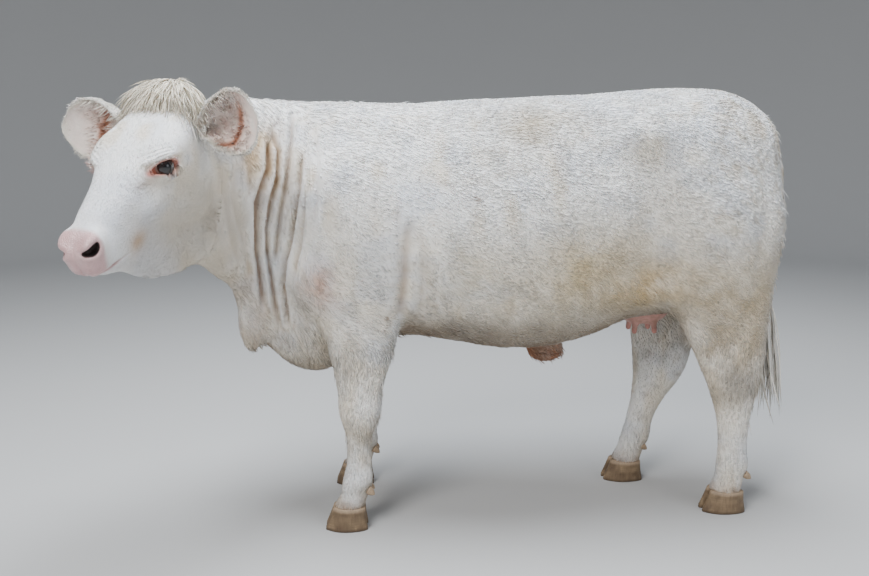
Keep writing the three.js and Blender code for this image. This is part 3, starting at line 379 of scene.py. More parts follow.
# Skin folds: where each crease runs on the left side, as height and place along, its depth and its width
NECK_CREASES = [
    ([(1190, -760), (1080, -762), (990, -793), (850, -806), (730, -802), (640, -802)], 15, 7),
    ([(1210, -760), (1130, -738), (1050, -742), (980, -762), (910, -777), (830, -778), (700, -768),
      (570, -757)], 12, 6),
    ([(1262, -700), (1160, -703), (1080, -712), (1010, -722), (950, -736), (880, -748), (780, -764)], 9, 6),
    ([(1140, -670), (1020, -681), (950, -692), (880, -706), (820, -725), (740, -738), (580, -728)], 10, 6),
    ([(1050, -662), (930, -669), (860, -678), (810, -692), (740, -698)], 6, 6),
    ([(1110, -836), (990, -842), (880, -832), (740, -826)], 8, 8),
    ([(1110, -862), (990, -860), (860, -852), (780, -846)], 8, 9),
    ([(1240, -640), (1120, -626), (1000, -628), (900, -640)], 3, 8),
]
BODY_CREASES = [
    ([(960, -366), (860, -376), (760, -384), (640, -396)], 9, 15),
    ([(940, -340), (800, -334), (650, -336)], 5, 12),
    ([(880, -314), (740, -300), (650, -298)], 3, 14),
    ([(1000, -396), (860, -405), (780, -404)], 4, 12),
]
# The neck ends here, and the folds of its far side are set back and shallower
NECK_BASE, FAR_FOLD_SHIFT, FAR_FOLD_DEPTH = -575, 24, 0.7
# A crease fades out over its last stretch, and a low swell runs along both its sides
CREASE_FADE = 60
SWELL_HEIGHT, SWELL_PLACE = 0.42, 2.4


def crease_depth(x, z, creases):
    """How far the folds sink (positive) or swell (negative) at a place seen from the left."""
    sink = np.zeros(len(x))
    close = np.full(len(x), FAR_AWAY)
    for path, depth, width in creases:
        heights = np.array([q[0] for q in path], float)[::-1]
        places = np.array([q[1] for q in path], float)[::-1]
        run = x - np.interp(z, heights, places)
        ends = rising(z, heights[0], CREASE_FADE) * falling(z, heights[-1], CREASE_FADE)
        swell = SWELL_HEIGHT * bell(np.abs(run) / width, SWELL_PLACE, 1)
        sink += ends * depth * (bell(run, 0, width) - swell)
        close = np.where(ends > 0.02, np.minimum(close, np.abs(run) / width), close)
    return sink, close


# The nostril: its middle on the muzzle, the ways its slot runs and goes in, and its radii
NOSTRIL = {"a": 484, "u": -74, "l": 36, "long": 21, "tall": 10, "deep": 19, "bow": 0.012, "shift": 3.0}
NOSTRIL_ALONG = np.array([-0.806, 0.181, 0.564])
NOSTRIL_OUT = np.array([0.60, 0.36, 0.71])
NOSTRIL_ACROSS = np.cross(NOSTRIL_OUT, NOSTRIL_ALONG)
MOUTH_END = 370
MOUTH = [(376, -166), (400, -158), (430, -149), (465, -140), (520, -134)]
# The opening between the lids lies in a plane that faces outwards, forwards and up
EYE_AXIS = np.array([0.397, 0.305, 0.866])
LID_ALONG = np.array([0.918, -0.132, -0.375])
LID_UP = np.array([0.0, 0.943, -0.332])
LID = {"long": 32.0, "tall": 15.5, "slant": -0.33, "thick": 4.5, "inward": 3.0, "floor": 8.0}
# Rolls of skin above and below the eye: centre along, up and out from it, and radii
LID_ROLLS = [((-2, 25, 13), (38, 9, 12)), ((2, -25, 10), (34, 8, 10))]
LID_BLEND = 14
LID_CREASE = {"ring": 1.42, "deep": 2.2}
# Wrinkles that ring the upper lid: how far round, how deep
BROW_WRINKLES = [(1.9, 1.5), (2.35, 1.3), (2.85, 1.1), (3.4, 0.9)]
TEAR_CORNER = {"along": 36, "long": 9, "tall": 4, "floor": 6}
EDGE_BLEND = 3
NOSTRIL_WING, LIP_GROOVE = 3.5, 3.0
GLOBE = 26.0
GLOBE_OUT = 2.0


def from_feature(p, feature):
    """How far points lie along, up and outwards from a feature that the head has on both sides."""
    a, u, l = head_place(p)
    return np.stack([a - feature["a"], u - feature["u"], np.abs(l) - feature["l"]], 1)


def lid_place(p):
    """Where points lie against the eye: along the opening, up it, outwards, and how far round its edge."""
    v = from_feature(p, EYE)
    along, up, out = v @ LID_ALONG, v @ LID_UP, v @ EYE_AXIS
    up = up + LID["slant"] * along
    return along, up, out, np.hypot((along - LID["inward"]) / LID["long"], up / LID["tall"])


def mouth_gap(a, u):
    """How far points lie from the line of the mouth."""
    line = np.interp(a, [q[0] for q in MOUTH], [q[1] for q in MOUTH])
    return np.hypot(np.maximum(MOUTH_END - a, 0), u - line)


def nostril_place(p):
    """Where points lie against the nostril's slot, which is bowed: along it, across it and outwards."""
    v = from_feature(p, NOSTRIL)
    run, out = v @ NOSTRIL_ALONG, v @ NOSTRIL_OUT
    return run, v @ NOSTRIL_ACROSS + NOSTRIL["bow"] * run**2 - NOSTRIL["shift"], out


def nostril_distance(p):
    run, across, out = nostril_place(p)
    return ellipsoid(run, across, out, NOSTRIL["long"], NOSTRIL["tall"], NOSTRIL["deep"])


def head_details(p, d):
    """Lids, nostrils and the line of the mouth, worked into the distance of points near the face."""
    along, up, out, edge = lid_place(p)
    ball = np.sqrt(along**2 + (up - LID["slant"] * along) ** 2 + (out - GLOBE_OUT) ** 2)
    d = join(d, ball - GLOBE - LID["thick"], 16)
    for (ca, cu, co), radii in LID_ROLLS:
        d = join(d, ellipsoid(along - ca, up - cu, out - co, *radii), LID_BLEND)
    near = rising(out, -4, 16)
    d = d + near * LID_CREASE["deep"] * bell(edge, LID_CREASE["ring"], 0.13) * rising(up, -4, 10)
    for ring, deep in BROW_WRINKLES:
        d = d + near * deep * bell(edge, ring, 0.12) * smooth_step((along * 0.5 + up) / 26)
    slot = np.maximum((edge - 1) * LID["tall"], LID["floor"] - out)
    d = carve(d, slot, EDGE_BLEND)
    corner = np.hypot((along - TEAR_CORNER["along"]) / TEAR_CORNER["long"], up / TEAR_CORNER["tall"])
    corner = np.maximum((corner - 1) * TEAR_CORNER["tall"], TEAR_CORNER["floor"] - out)
    d = carve(d, corner, EDGE_BLEND)
    hole = nostril_distance(p)
    d = d - NOSTRIL_WING * bell(hole, 9, 7)
    d = carve(d, hole, 5)
    a, u, l = head_place(p)
    mouth = (1.2 + 2.2 * rising(a, 430, 40)) * bell(mouth_gap(a, u), 0, 3.2)
    d = d + mouth * rising(a, 380, 40)
    groove = bell(l, 0, 3.0) * rising(a, 470, 20) * falling(u, -104, 16)
    return d + LIP_GROOVE * groove


def head_way(direction, p):
    """A direction given along, up and outwards on the head, turned for the side each point is on."""
    side = np.sign(head_place(p)[2])[:, None]
    return ALONG * direction[0] + UP * direction[1] + SIDE * direction[2] * side


def sunk_in(p):
    """Points over the nostrils and between the lids, moved straight in to the bottom of the opening."""
    a = head_place(p)[0]
    run, across, out = nostril_place(p)
    left = 1 - (run / NOSTRIL["long"]) ** 2 - (across / NOSTRIL["tall"]) ** 2
    bottom = -NOSTRIL["deep"] * np.sqrt(np.maximum(left, 0))
    inside = (left > 0.02) & (out > bottom) & (out < 30) & (a > 420)
    move = np.where(inside, out - bottom, 0.0)
    p = p - head_way(NOSTRIL_OUT, p) * move[:, None]
    _, _, out, edge = lid_place(p)
    inside = (edge < 0.97) & (out > LID["floor"]) & (out < 50) & (a > 120) & (a < 300)
    move = np.where(inside, out - LID["floor"], 0.0)
    return p - head_way(EYE_AXIS, p) * move[:, None]


def spine_y(x):
    order = np.argsort(TRUNK_SLICES["x"])
    return np.interp(x, TRUNK_SLICES["x"][order], TRUNK_SLICES["y"][order])


# Boxes round the head: least along, most along, half width, least up, most up, most y
ANY = math.inf
HEAD_BOXES = {
    "features": (90, 560, 170, -260, 120, ANY),
    "bare": (60, ANY, 170, -ANY, ANY, -250),
    "fine": (-20, ANY, 150, -290, 100, -250),
    "haired": (-40, ANY, 190, -ANY, ANY, -215),
    "beside": (-ANY, ANY, 190, -ANY, ANY, -215),
    "chart": (-60, ANY, 190, -ANY, ANY, -210),
    "combed": (-ANY, ANY, 190, -ANY, ANY, -210),
}


def in_head_box(p, name):
    least_a, most_a, half, least_u, most_u, most_y = HEAD_BOXES[name]
    a, u, l = head_place(p)
    inside = (a > least_a) & (a < most_a) & (np.abs(l) < half)
    return inside & (u > least_u) & (u < most_u) & (p[:, 1] < most_y)


def skin_distance(p):
    d = flesh_distance(p)
    face = in_head_box(p, "features")
    if face.any():
        d[face] = head_details(p[face], d[face])
    return d


# Broad swells (negative) and hollows of the muscles on both sides: place along, height, reach, depth
MUSCLES = [
    (-300, 980, 44, 210, 8),
    (-600, 960, 30, 170, 6),
    (-455, 1010, 90, 190, -6),
    (-640, 770, 52, 60, -7),
    (-505, 660, 30, 120, 5),
    (215, 1085, 80, 76, 9),
    (310, 1180, 54, 40, -9),
    (318, 830, 44, 150, 8),
    (650, 880, 30, 190, 6),
    (560, 1010, 90, 130, -6),
    (440, 720, 60, 70, -6),
    (-120, 860, 150, 120, -4),
]
RIBS = {"deep": 0.9, "lean": 0.25, "apart": 13.0}


def muscle_sink(p):
    x, y, z = p.T
    sink = np.zeros(len(p))
    for at_x, at_z, reach_x, reach_z, depth in MUSCLES:
        sink += depth * spot((x, at_x, reach_x), (z, at_z, reach_z))
    ribs = rising(x, -270, 60) * falling(x, 180, 80) * falling(z, 1150, 90)
    sink += RIBS["deep"] * ribs * np.sin((x + RIBS["lean"] * z) / RIBS["apart"])
    return sink * rising(np.abs(y), 40, 70) * (x > -700)


def fold_sink(p):
    """How deep the folds of the neck and elbow sink at each point."""
    x, y, z = p.T
    sink = np.zeros(len(p))
    off_spine = y - spine_y(x)
    on_neck = falling(x, NECK_BASE, 30)
    neck, _ = crease_depth(x, z, NECK_CREASES)
    sink += neck * rising(-off_spine, 20, 60) * on_neck
    far, _ = crease_depth(x - FAR_FOLD_SHIFT, z, NECK_CREASES[1:])
    sink += FAR_FOLD_DEPTH * far * rising(off_spine, 20, 60) * on_neck
    elbow, _ = crease_depth(x, z, BODY_CREASES)
    sink += elbow * rising(np.abs(y), 90, 30)
    return sink


# Meshing a distance field: one point in each grid cell that the surface crosses
SKIN_CELL = 13.6
SKIN_LOW = np.array([-1336.0, -904.0, 32.0])
SKIN_HIGH = np.array([860.0, 430.0, 1400.0])
CHUNK = 200000
COARSE, BAND = 4, 1.5


def in_chunks(field, points):
    return np.concatenate([field(points[i:i + CHUNK]) for i in range(0, len(points), CHUNK)])


def sampled(field, low, high, cell):
    """The field at every grid corner: exact in a band round the surface, coarse elsewhere."""
    count = (np.ceil((high - low) / (cell * COARSE)).astype(int)) * COARSE + 1
    rough_axes = [low[k] + cell * np.arange(count[k])[::COARSE] for k in range(3)]
    rough = np.stack(np.meshgrid(*rough_axes, indexing="ij"), -1).reshape(-1, 3)
    value = in_chunks(field, rough).reshape([len(axis) for axis in rough_axes])
    for axis in range(3):
        value = value.repeat(COARSE, axis)
    half = COARSE // 2
    value = value[tuple(slice(half, half + count[k]) for k in range(3))]
    value = np.pad(value, [(0, count[k] - value.shape[k]) for k in range(3)], mode="edge")
    band = np.abs(value) < cell * COARSE * BAND
    value[band] = in_chunks(field, low + cell * np.argwhere(band))
    return value


def grid_ends(value, axis):
    """The values at the near and far ends of every grid edge along an axis."""
    near, far = [slice(None)] * 3, [slice(None)] * 3
    near[axis], far[axis] = slice(0, -1), slice(1, None)
    return value[tuple(near)], value[tuple(far)]


def net_points(value):
    """A point in each cell that the surface crosses, in cells, and each cell's point number."""
    shape = tuple(n - 1 for n in value.shape)
    total = np.zeros(shape + (3,))
    crossings = np.zeros(shape)
    for axis in range(3):
        b, c = (axis + 1) % 3, (axis + 2) % 3
        for sb in (0, 1):
            for sc in (0, 1):
                part = [slice(None)] * 3
                for k, s in ((b, sb), (c, sc)):
                    part[k] = slice(1, None) if s else slice(0, -1)
                va, vb = grid_ends(value[tuple(part)], axis)
                cross = (va < 0) != (vb < 0)
                t = np.where(cross, va / np.where(cross, va - vb, 1), 0)
                total[..., axis] += t
                total[..., b] += sb * cross
                total[..., c] += sc * cross
                crossings += cross
    active = crossings > 0
    number = np.full(shape, -1)
    number[active] = np.arange(active.sum())
    return np.argwhere(active) + total[active] / crossings[active][:, None], number


def surface_net(field, low, high, cell):
    """Points and outward quads of a field's surface."""
    value = sampled(field, low, high, cell)
    points, number = net_points(value)
    quads = []
    for axis in range(3):
        va, vb = grid_ends(value < 0, axis)
        edges = np.argwhere(va != vb)
        out = va[tuple(edges.T)]
        step_b, step_c = np.eye(3, dtype=int)[(axis + 1) % 3], np.eye(3, dtype=int)[(axis + 2) % 3]
        corners = [edges - step_b - step_c, edges - step_c, edges, edges - step_b]
        quad = np.stack([number[tuple(corner.T)] for corner in corners], 1)
        quads.append(np.where(out[:, None], quad, quad[:, ::-1]))
    return low + cell * points, np.concatenate(quads)


LEAST_STEEP = 0.25


def draw_onto(field, points, reach, rounds=1, slope_step=1.0):
    """Moves points along the field's slope until they lie on its surface."""
    for _ in range(rounds):
        d = in_chunks(field, points)
        slope = np.stack([(in_chunks(field, points + np.eye(3)[k] * slope_step) - d) / slope_step
                          for k in range(3)], 1)
        steep = np.maximum((slope**2).sum(1), LEAST_STEEP)
        move = -slope * (d / steep)[:, None]
        length = np.linalg.norm(move, axis=1)
        points = points + move * np.minimum(1, reach / np.maximum(length, 1e-9))[:, None]
    return points


def evened(points, quads, amount):
    total = np.zeros_like(points)
    count = np.zeros(len(points))
    for k in range(4):
        for other in (quads[:, (k + 1) % 4], quads[:, (k + 3) % 4]):
            for axis in range(3):
                total[:, axis] += np.bincount(quads[:, k], points[other, axis], len(points))
            count += np.bincount(quads[:, k], minlength=len(points))
    mean = total / np.maximum(count, 1)[:, None]
    return points + (mean - points) * amount


# From the animal's frame to the model's: the left eye's place is known in both
eye_low, eye_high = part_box("eye_left")
ORIGIN = (np.array(eye_low) + np.array(eye_high)) / 2 - head_point(EYE["a"], EYE["u"], EYE["l"]) * MM


def to_model(points):
    return np.asarray(points) * MM + ORIGIN


def to_animal(points):
    return (np.asarray(points) - ORIGIN) / MM


def put(obj, points):
    """Moves a mesh's points to places in the animal's frame."""
    obj.data.vertices.foreach_set("co", to_model(points).ravel())
    obj.data.update()


def mesh_object(name, points, faces, material):
    mesh = bpy.data.meshes.new(name)
    mesh.from_pydata([tuple(q) for q in points], [], [tuple(f) for f in faces])
    mesh.validate()
    mesh.materials.append(material)
    obj = bpy.data.objects.new(name, mesh)
    bpy.context.scene.collection.objects.link(obj)
    obj.data.shade_smooth()
    return obj


# Colours of the coat and the bare skin
def tint(r, g, b):
    """A colour given in everyday 0 to 255 numbers, as the linear light that Blender works in."""
    v = np.array([r, g, b]) / 255
    return np.where(v < 0.04045, v / 12.92, ((v + 0.055) / 1.055) ** 2.4)


WHITE = tint(240, 240, 240)
CREAM = tint(236, 229, 217)
BRUSHED_CREAM = tint(222, 206, 178)
COOL_WHITE = tint(214, 220, 230)
DUST = tint(188, 174, 150)
BELLY_SHADE_AND_DIRT = tint(132, 108, 80)
STAIN = tint(172, 142, 98)
GREY = tint(140, 132, 122)
FOLD_SHADE_AND_SPECK_BROWN = tint(126, 92, 58)
FOOT_BROWN = tint(140, 106, 72)
TUFT_CREAM = tint(243, 233, 212)
JAW_SHADE_CREAM = tint(196, 184, 166)
BRIDGE_SHADE_GREY = tint(214, 216, 222)
CHEEK_CREAM = tint(220, 212, 198)
CORNER_TAN_AND_SHADE = tint(190, 150, 106)
LID_CREAM = tint(214, 176, 156)
TEAR_STREAK = tint(150, 120, 92)
MUZZLE_PINK = tint(206, 166, 166)
MUZZLE_BLOT = tint(178, 136, 136)
LID_RIM = tint(216, 150, 128)
LID_INSIDE = tint(150, 84, 66)
CORNER_RED = tint(220, 132, 104)
MOUTH_CREASE_SHADE = tint(176, 142, 130)
NOSTRIL_SHADE_DARK = tint(52, 34, 30)
EAR_WHITE = tint(246, 240, 234)
EAR_PINK = tint(238, 214, 204)
SLIT_ORANGE = tint(196, 112, 56)
SLIT_BROWN = tint(84, 44, 28)
EYE_WHITE = tint(176, 160, 152)
IRIS_BROWN = tint(34, 24, 22)
IRIS_EDGE = tint(16, 10, 10)
PUPIL_BLACK = tint(8, 8, 12)
HORN_TAN = tint(150, 128, 100)
HORN_BROWN = tint(92, 74, 58)
GROWTH_RING = tint(118, 96, 72)
CORONET_HORN = tint(186, 162, 136)
WORN_HORN = tint(70, 56, 44)
UDDER_PINK = tint(202, 152, 140)
UDDER_BROWN = tint(166, 122, 108)
UDDER_FLECK = tint(150, 112, 92)
TEAT_PINK = tint(190, 132, 120)
OCHRE = tint(204, 170, 124)
ROSE_TAN = tint(196, 152, 128)
FLANK_YELLOW = tint(206, 186, 146)
GIRTH_YELLOW = tint(210, 194, 158)
FLANK_TAN = tint(196, 168, 116)
THIGH_TAN = tint(190, 166, 120)
HOCK_TAN = tint(172, 146, 104)
NAVEL_BROWN = tint(150, 92, 54)
DEWLAP_ROSE = tint(206, 178, 160)
# Stains and dirt on both sides of the body, with painted shade at the elbows: centre, radii, colour,
# strength
STAINS_AND_ELBOW_SHADE = [
    ((-776, 200, 1107), (58, 150, 100), OCHRE, 0.9),
    ((-738, 200, 1010), (50, 150, 100), STAIN, 0.75),
    ((-700, 200, 900), (40, 150, 110), DUST, 0.35),
    ((-618, 215, 752), (58, 90, 60), ROSE_TAN, 0.8),
    ((-27, 200, 1210), (110, 150, 60), DUST, 0.6),
    ((-77, 270, 1135), (110, 120, 56), DUST, 0.45),
    ((173, 200, 1190), (110, 150, 60), DUST, 0.45),
    ((300, 230, 1050), (130, 120, 70), DUST, 0.25),
    ((112, 260, 800), (150, 120, 130), FLANK_YELLOW, 0.75),
    ((-200, 260, 790), (120, 120, 90), GIRTH_YELLOW, 0.65),
    ((316, 200, 740), (150, 130, 90), FLANK_TAN, 0.75),
    ((561, 200, 763), (130, 130, 120), THIGH_TAN, 0.8),
    ((600, 150, 600), (110, 120, 130), HOCK_TAN, 0.75),
    ((640, 150, 430), (70, 90, 70), GREY, 0.6),
    ((-189, 180, 620), (110, 130, 46), GREY, 0.75),
    ((-433, 180, 653), (60, 90, 60), GREY, 0.4),
    # Painted shade at the elbow, in the dust colour
    ((-358, 230, 760), (50, 90, 120), DUST, 0.5),
    ((60, 0, 480), (110, 60, 70), NAVEL_BROWN, 0.85),
    ((-836, 94, 640), (90, 90, 120), DEWLAP_ROSE, 0.5),
]
# Small brown marks on the left side: place along, height, radius
SPECKS = [(-184, 1000, 9), (-433, 653, 8), (91, 1053, 8), (-300, 930, 6), (420, 1010, 6), (250, 900, 5)]


# Large odd numbers that scatter the corners of a grid into random marks
GRAIN_PRIMES = np.array([374761393, 668265263, 961748927])
GRAIN_SEED, GRAIN_MIX = 15731, 1274126177
WORD, HALF_WORD = 0xFFFFFFFF, 0xFFFF


def grain(p, size, seed):
    """A soft random field between 0 and 1 whose patches are about `size` across."""
    q = np.asarray(p) / size
    i = np.floor(q).astype(np.int64)
    f = smooth_step(q - i)
    total = np.zeros(len(q))
    for corner in np.ndindex(2, 2, 2):
        c = i + np.array(corner)
        mark = (c @ GRAIN_PRIMES + seed * GRAIN_SEED) & WORD
        mark = ((mark ^ (mark >> 13)) * GRAIN_MIX) & WORD
        weight = np.where(np.array(corner) == 1, f, 1 - f).prod(axis=1)
        total += weight * ((mark ^ (mark >> 16)) & HALF_WORD) / HALF_WORD
    return total


def blended(tone, other, amount):
    return tone + (other - tone) * clamp01(amount)[:, None]


def both_sides(p, centre, radii):
    """A soft spot on the left side and its mirror image on the right."""
    v = np.stack([p[:, 0], np.abs(p[:, 1]), p[:, 2]], 1) - np.array(centre, float)
    return np.exp(-((v / np.array(radii, float)) ** 2).sum(1))


def bareness(p):
    """One on the muzzle and the lids' rims, nought where there is hair."""
    a, u, _ = head_place(p)
    pad = rising(a + 0.35 * (u + 80), 458, 16) * rising(u, -150, 14)
    pad = np.maximum(pad, falling(nostril_distance(p), 13, 8) * (a > 430))
    lips = falling(mouth_gap(a, u), 7, 5) * rising(a, 430, 40)
    along, up, out, edge = lid_place(p)
    rim = falling(edge, 1.24, 0.14) * rising(out, -2, 8)
    tear = spot((along, 40, 13), (up, 0, 9)) * smooth_step(out / 6)
    most = clamp01(np.maximum.reduce([pad, lips, rim, tear]))
    return np.where(in_head_box(p, "bare"), most, 0.0)


BRUSHED_STRETCH = np.array([1.0, 1.0, 0.34])


def ground_tone(p, up_facing, grains):
    """Clean hair: white on top as a painted highlight from the light above, cream below, with brushed cream
    and cool patches.
    """
    big, middle, mottle = grains
    tone = np.tile(CREAM, (len(p), 1))
    # Painted highlight: the tone whitens where the surface faces up towards the light.
    tone = blended(tone, WHITE, smooth_step((up_facing - 0.34 + 0.3 * (mottle - 0.5)) / 0.3))
    brushed = grain(p * BRUSHED_STRETCH, 46, 5)
    swept = rising(0.6 * brushed + 0.4 * big, 0.5, 0.2)
    tone = blended(tone, BRUSHED_CREAM, 0.55 * swept * (up_facing < 0.9))
    return blended(tone, COOL_WHITE, 0.5 * rising(0.6 * middle + 0.4 * (1 - big), 0.52, 0.2))


def dirtied_and_shaded(p, tone, trunk, up_facing, grains):
    """Painted shade with dust under the body, a brown belly that is partly painted shade and partly dirt,
    the stains with painted shade at the elbows, and fine dirt on rump and legs.
    """
    x, y, z = p.T
    middle, small, fine, mottle = grains
    # Painted shade with dust: the lower parts of the body that face down take the dust colour.
    low = smooth_step((0.56 - up_facing + 0.5 * (mottle - 0.5)) / 0.34)
    height = falling(z, 960, 420)
    tone = blended(tone, DUST, low * height * (0.35 + 0.5 * middle) * trunk)
    # Painted shade with dirt: the underside of the belly turns brown.
    belly = falling(up_facing, 0.30, 0.24) * falling(z, 700, 90) * rising(z, 430, 60)
    tone = blended(tone, BELLY_SHADE_AND_DIRT, belly * (0.55 + 0.5 * middle) * trunk)
    for centre, radii, colour, strength in STAINS_AND_ELBOW_SHADE:
        patchy = both_sides(p, centre, radii) * strength * (0.35 + 1.1 * rising(mottle, 0.3, 0.4))
        tone = blended(tone, colour, patchy)
    speckled = rising(x, 380, 200) * rising(z, 760, 200)
    tone = blended(tone, DUST, speckled * 0.55 * rising(small * 0.6 + fine * 0.4, 0.5, 0.2))
    tone = blended(tone, DUST, 0.16 * rising(small, 0.56, 0.2) * trunk)
    tone = blended(tone, GREY, 0.30 * rising(fine * 0.5 + small * 0.5, 0.62, 0.12) * height * trunk)
    for at_x, at_z, radius in SPECKS:
        near = np.hypot(x - at_x, z - at_z)
        tone = blended(tone, FOLD_SHADE_AND_SPECK_BROWN, 0.7 * smooth_step((radius - near) / 4) * (y < 0))
    tone = blended(tone, GREY, falling(z, 330, 260) * (0.25 + 0.5 * middle) * 0.7)
    return blended(tone, FOOT_BROWN, falling(z, 120, 60) * (0.35 + 0.5 * small))


def skin_tone(p, normal, sink):
    """The colour of the coat and bare skin at each point; `sink` is how deep its fold lies, and sets the
    painted shade in folds and the painted highlight on their swells.
    """
    a, u, l = head_place(p)
    big, middle, small, fine = grain(p, 190, 1), grain(p, 62, 2), grain(p, 21, 3), grain(p, 8, 4)
    mottle = 0.45 * big + 0.35 * middle + 0.2 * small
    up_facing = normal[:, 2] * 0.5 + 0.5
    head = rising(a, -70, 60) * falling(np.abs(l), 200, 50) * falling(p[:, 1], -190, 60)
    tone = ground_tone(p, up_facing, (big, middle, mottle))
    tone = dirtied_and_shaded(p, tone, 1 - head, up_facing, (middle, small, fine, mottle))
    # Painted shade in the folds, brown as deep as they sink, and painted highlight, white on the swells
    # beside them.
    tone = blended(tone, FOLD_SHADE_AND_SPECK_BROWN, clamp01(sink / 13) * 0.75)
    tone = blended(tone, WHITE, clamp01(-sink / 7) * 0.5)
    dome = spot((a, DOME[0], 62), (u, DOME[1], 46), (l, 0, 96))
    tone = blended(tone, TUFT_CREAM, 0.9 * smooth_step(dome / 0.5))
    return face_tone(p, tone, head, middle, small)


def face_tone(p, tone, head, middle, small):
    """Adds the face's colours and its painted shade to a tone; the last two are grains of two sizes."""
    a, u, _ = head_place(p)
    # Painted shade: the head darkens to a dull cream towards the underside of the jaw.
    jaw = falling(u, -120, 90) * rising(a, 20, 60) * head
    tone = blended(tone, JAW_SHADE_CREAM, jaw * (0.45 + 0.35 * middle))
    # Painted shade: a cool bluish grey over the front of the face.
    bridge = rising(a, 250, 90) * head
    tone = blended(tone, BRIDGE_SHADE_GREY, bridge * (0.4 + 0.35 * middle))
    cheek = spot((a, 190, 90), (u, -150, 60)) * head
    tone = blended(tone, CHEEK_CREAM, 0.5 * cheek)
    # A tan mark at the mouth's corner: partly brown hair, partly painted shade of the fold there.
    tan = spot((a, 372, 30), (u, -152, 24)) * head
    tone = blended(tone, CORNER_TAN_AND_SHADE, 0.75 * tan)
    along, up, out, edge = lid_place(p)
    close = head * rising(out, -8, 12)
    tone = blended(tone, LID_CREAM, close * 0.5 * falling(edge, 1.6, 0.4))
    streak = spot((along, 62, 34), (up, -16, 12)) * close
    tone = blended(tone, TEAR_STREAK, 0.5 * streak)
    pad = bareness(p)
    tone = blended(tone, MUZZLE_PINK, pad * head * (0.85 + 0.15 * small))
    blot = rising(0.5 * small + 0.5 * middle, 0.46, 0.2)
    tone = blended(tone, MUZZLE_BLOT, pad * 0.45 * blot)
    rim = falling(edge, 1.11, 0.06) * close
    tone = blended(tone, LID_RIM, rim * 0.8)
    tone = blended(tone, LID_INSIDE, falling(edge, 0.97, 0.06) * close * 0.8)
    tone = blended(tone, CORNER_RED, spot((along, 37, 11), (up, 0, 7)) * close)
    # Painted shade: the inside of each nostril is darkened nearly to black.
    tone = blended(tone, NOSTRIL_SHADE_DARK, falling(nostril_distance(p), 3.2, 2.4) * head * (a > 430))
    # Painted shade: a darker line along the crease of the mouth.
    line = falling(mouth_gap(a, u), 3.5, 3) * rising(a, 390, 70)
    return blended(tone, MOUTH_CREASE_SHADE, 0.5 * line * head)


# The lie of the hair on each part of the body
LIE = {
    "back": np.array([0.86, 0.0, -0.5]),
    "neck": np.array([0.62, 0.1, -0.78]),
    "leg": np.array([0.16, 0.0, -1.0]),
    "tail": np.array([0.1, 0.0, -1.0]),
}


def lie_direction(p, normal):
    """Which way the hair lies at each point, flat on the skin."""
    x, y, z = p.T
    a, u, l = head_place(p)
    sideways = np.sign(l)[:, None] * SIDE
    lie = np.tile(LIE["back"], (len(p), 1))
    tail_band = (x > 725) & (np.abs(y - TAIL_Y) < 46)
    parts = [
        (LIE["neck"], falling(x, -560, 160)),
        (LIE["leg"], falling(z, 640, 140) * (np.abs(y) > 40)),
        (LIE["tail"], tail_band * falling(z, 1230, 60)),
    ]
    for way, share in parts:
        lie = lie + (way - lie) * share[:, None]
    nose_down = np.tile(ALONG, (len(p), 1)) + sideways * smooth_step(np.abs(l) / 60)[:, None] * 0.5
    cheek_back = -ALONG * 0.35 - UP * 0.9
    cheek = falling(u, -60, 60)[:, None] * falling(a, 330, 120)[:, None]
    face = rising(a, -10, 60) * in_head_box(p, "combed") * rising(u, -330, 60)
    lie = lie + (nose_down + (cheek_back - nose_down) * cheek - lie) * face[:, None]
    for axis in range(3):
        lie[:, axis] += 0.3 * (grain(p, 90, 20 + axis) - 0.5) + 0.14 * (grain(p, 30, 30 + axis) - 0.5)
    lie -= normal * (lie * normal).sum(1)[:, None]
    return lie / np.maximum(np.linalg.norm(lie, axis=1), 1e-6)[:, None]


# Materials: every one reads the tone painted on its piece
def wire(tree, kind, settings=None, sockets=None):
    """Adds a node, sets it, and fills or joins its sockets by name or number."""
    node = tree.nodes.new(kind)
    for key, value in (settings or {}).items():
        setattr(node, key, value)
    for key, value in (sockets or {}).items():
        if isinstance(value, bpy.types.NodeSocket):
            tree.links.new(value, node.inputs[key])
        else:
            node.inputs[key].default_value = value
    return node


def spread(tree, value, low, high, to_low, to_high):
    """Stretches a value from one range to another."""
    node = wire(tree, "ShaderNodeMapRange", None,
                {"Value": value, "From Min": low, "From Max": high, "To Min": to_low, "To Max": to_high})
    return node.outputs["Result"]


def noise(tree, place, scale, detail=4.0, rough=0.6, warp=0.0):
    node = wire(tree, "ShaderNodeTexNoise", None,
                {"Vector": place, "Scale": scale, "Detail": detail, "Roughness": rough, "Distortion": warp})
    return node.outputs["Fac"]


SHEEN_ROUGH, TEAR_ROUGH = 0.5, 0.04
# How far red, green and blue light travel under the skin, in metres
FLESH_REACH = (0.012, 0.005, 0.003)


def new_material(name, rough=0.6, colour=(0.8, 0.8, 0.8), sheen=0.0, shine=0.5, coat=0.0, flesh=0.0):
    material = bpy.data.materials.new(name)
    material.use_nodes = True
    shader = material.node_tree.nodes["Principled BSDF"]
    plain = {"Base Color": (*colour, 1), "Roughness": rough, "Sheen Weight": sheen,
             "Sheen Roughness": SHEEN_ROUGH, "Specular IOR Level": shine, "Coat Weight": coat,
             "Coat Roughness": TEAR_ROUGH, "Subsurface Weight": flesh, "Subsurface Radius": FLESH_REACH}
    for key, value in plain.items():
        shader.inputs[key].default_value = value
    return material, material.node_tree, shader


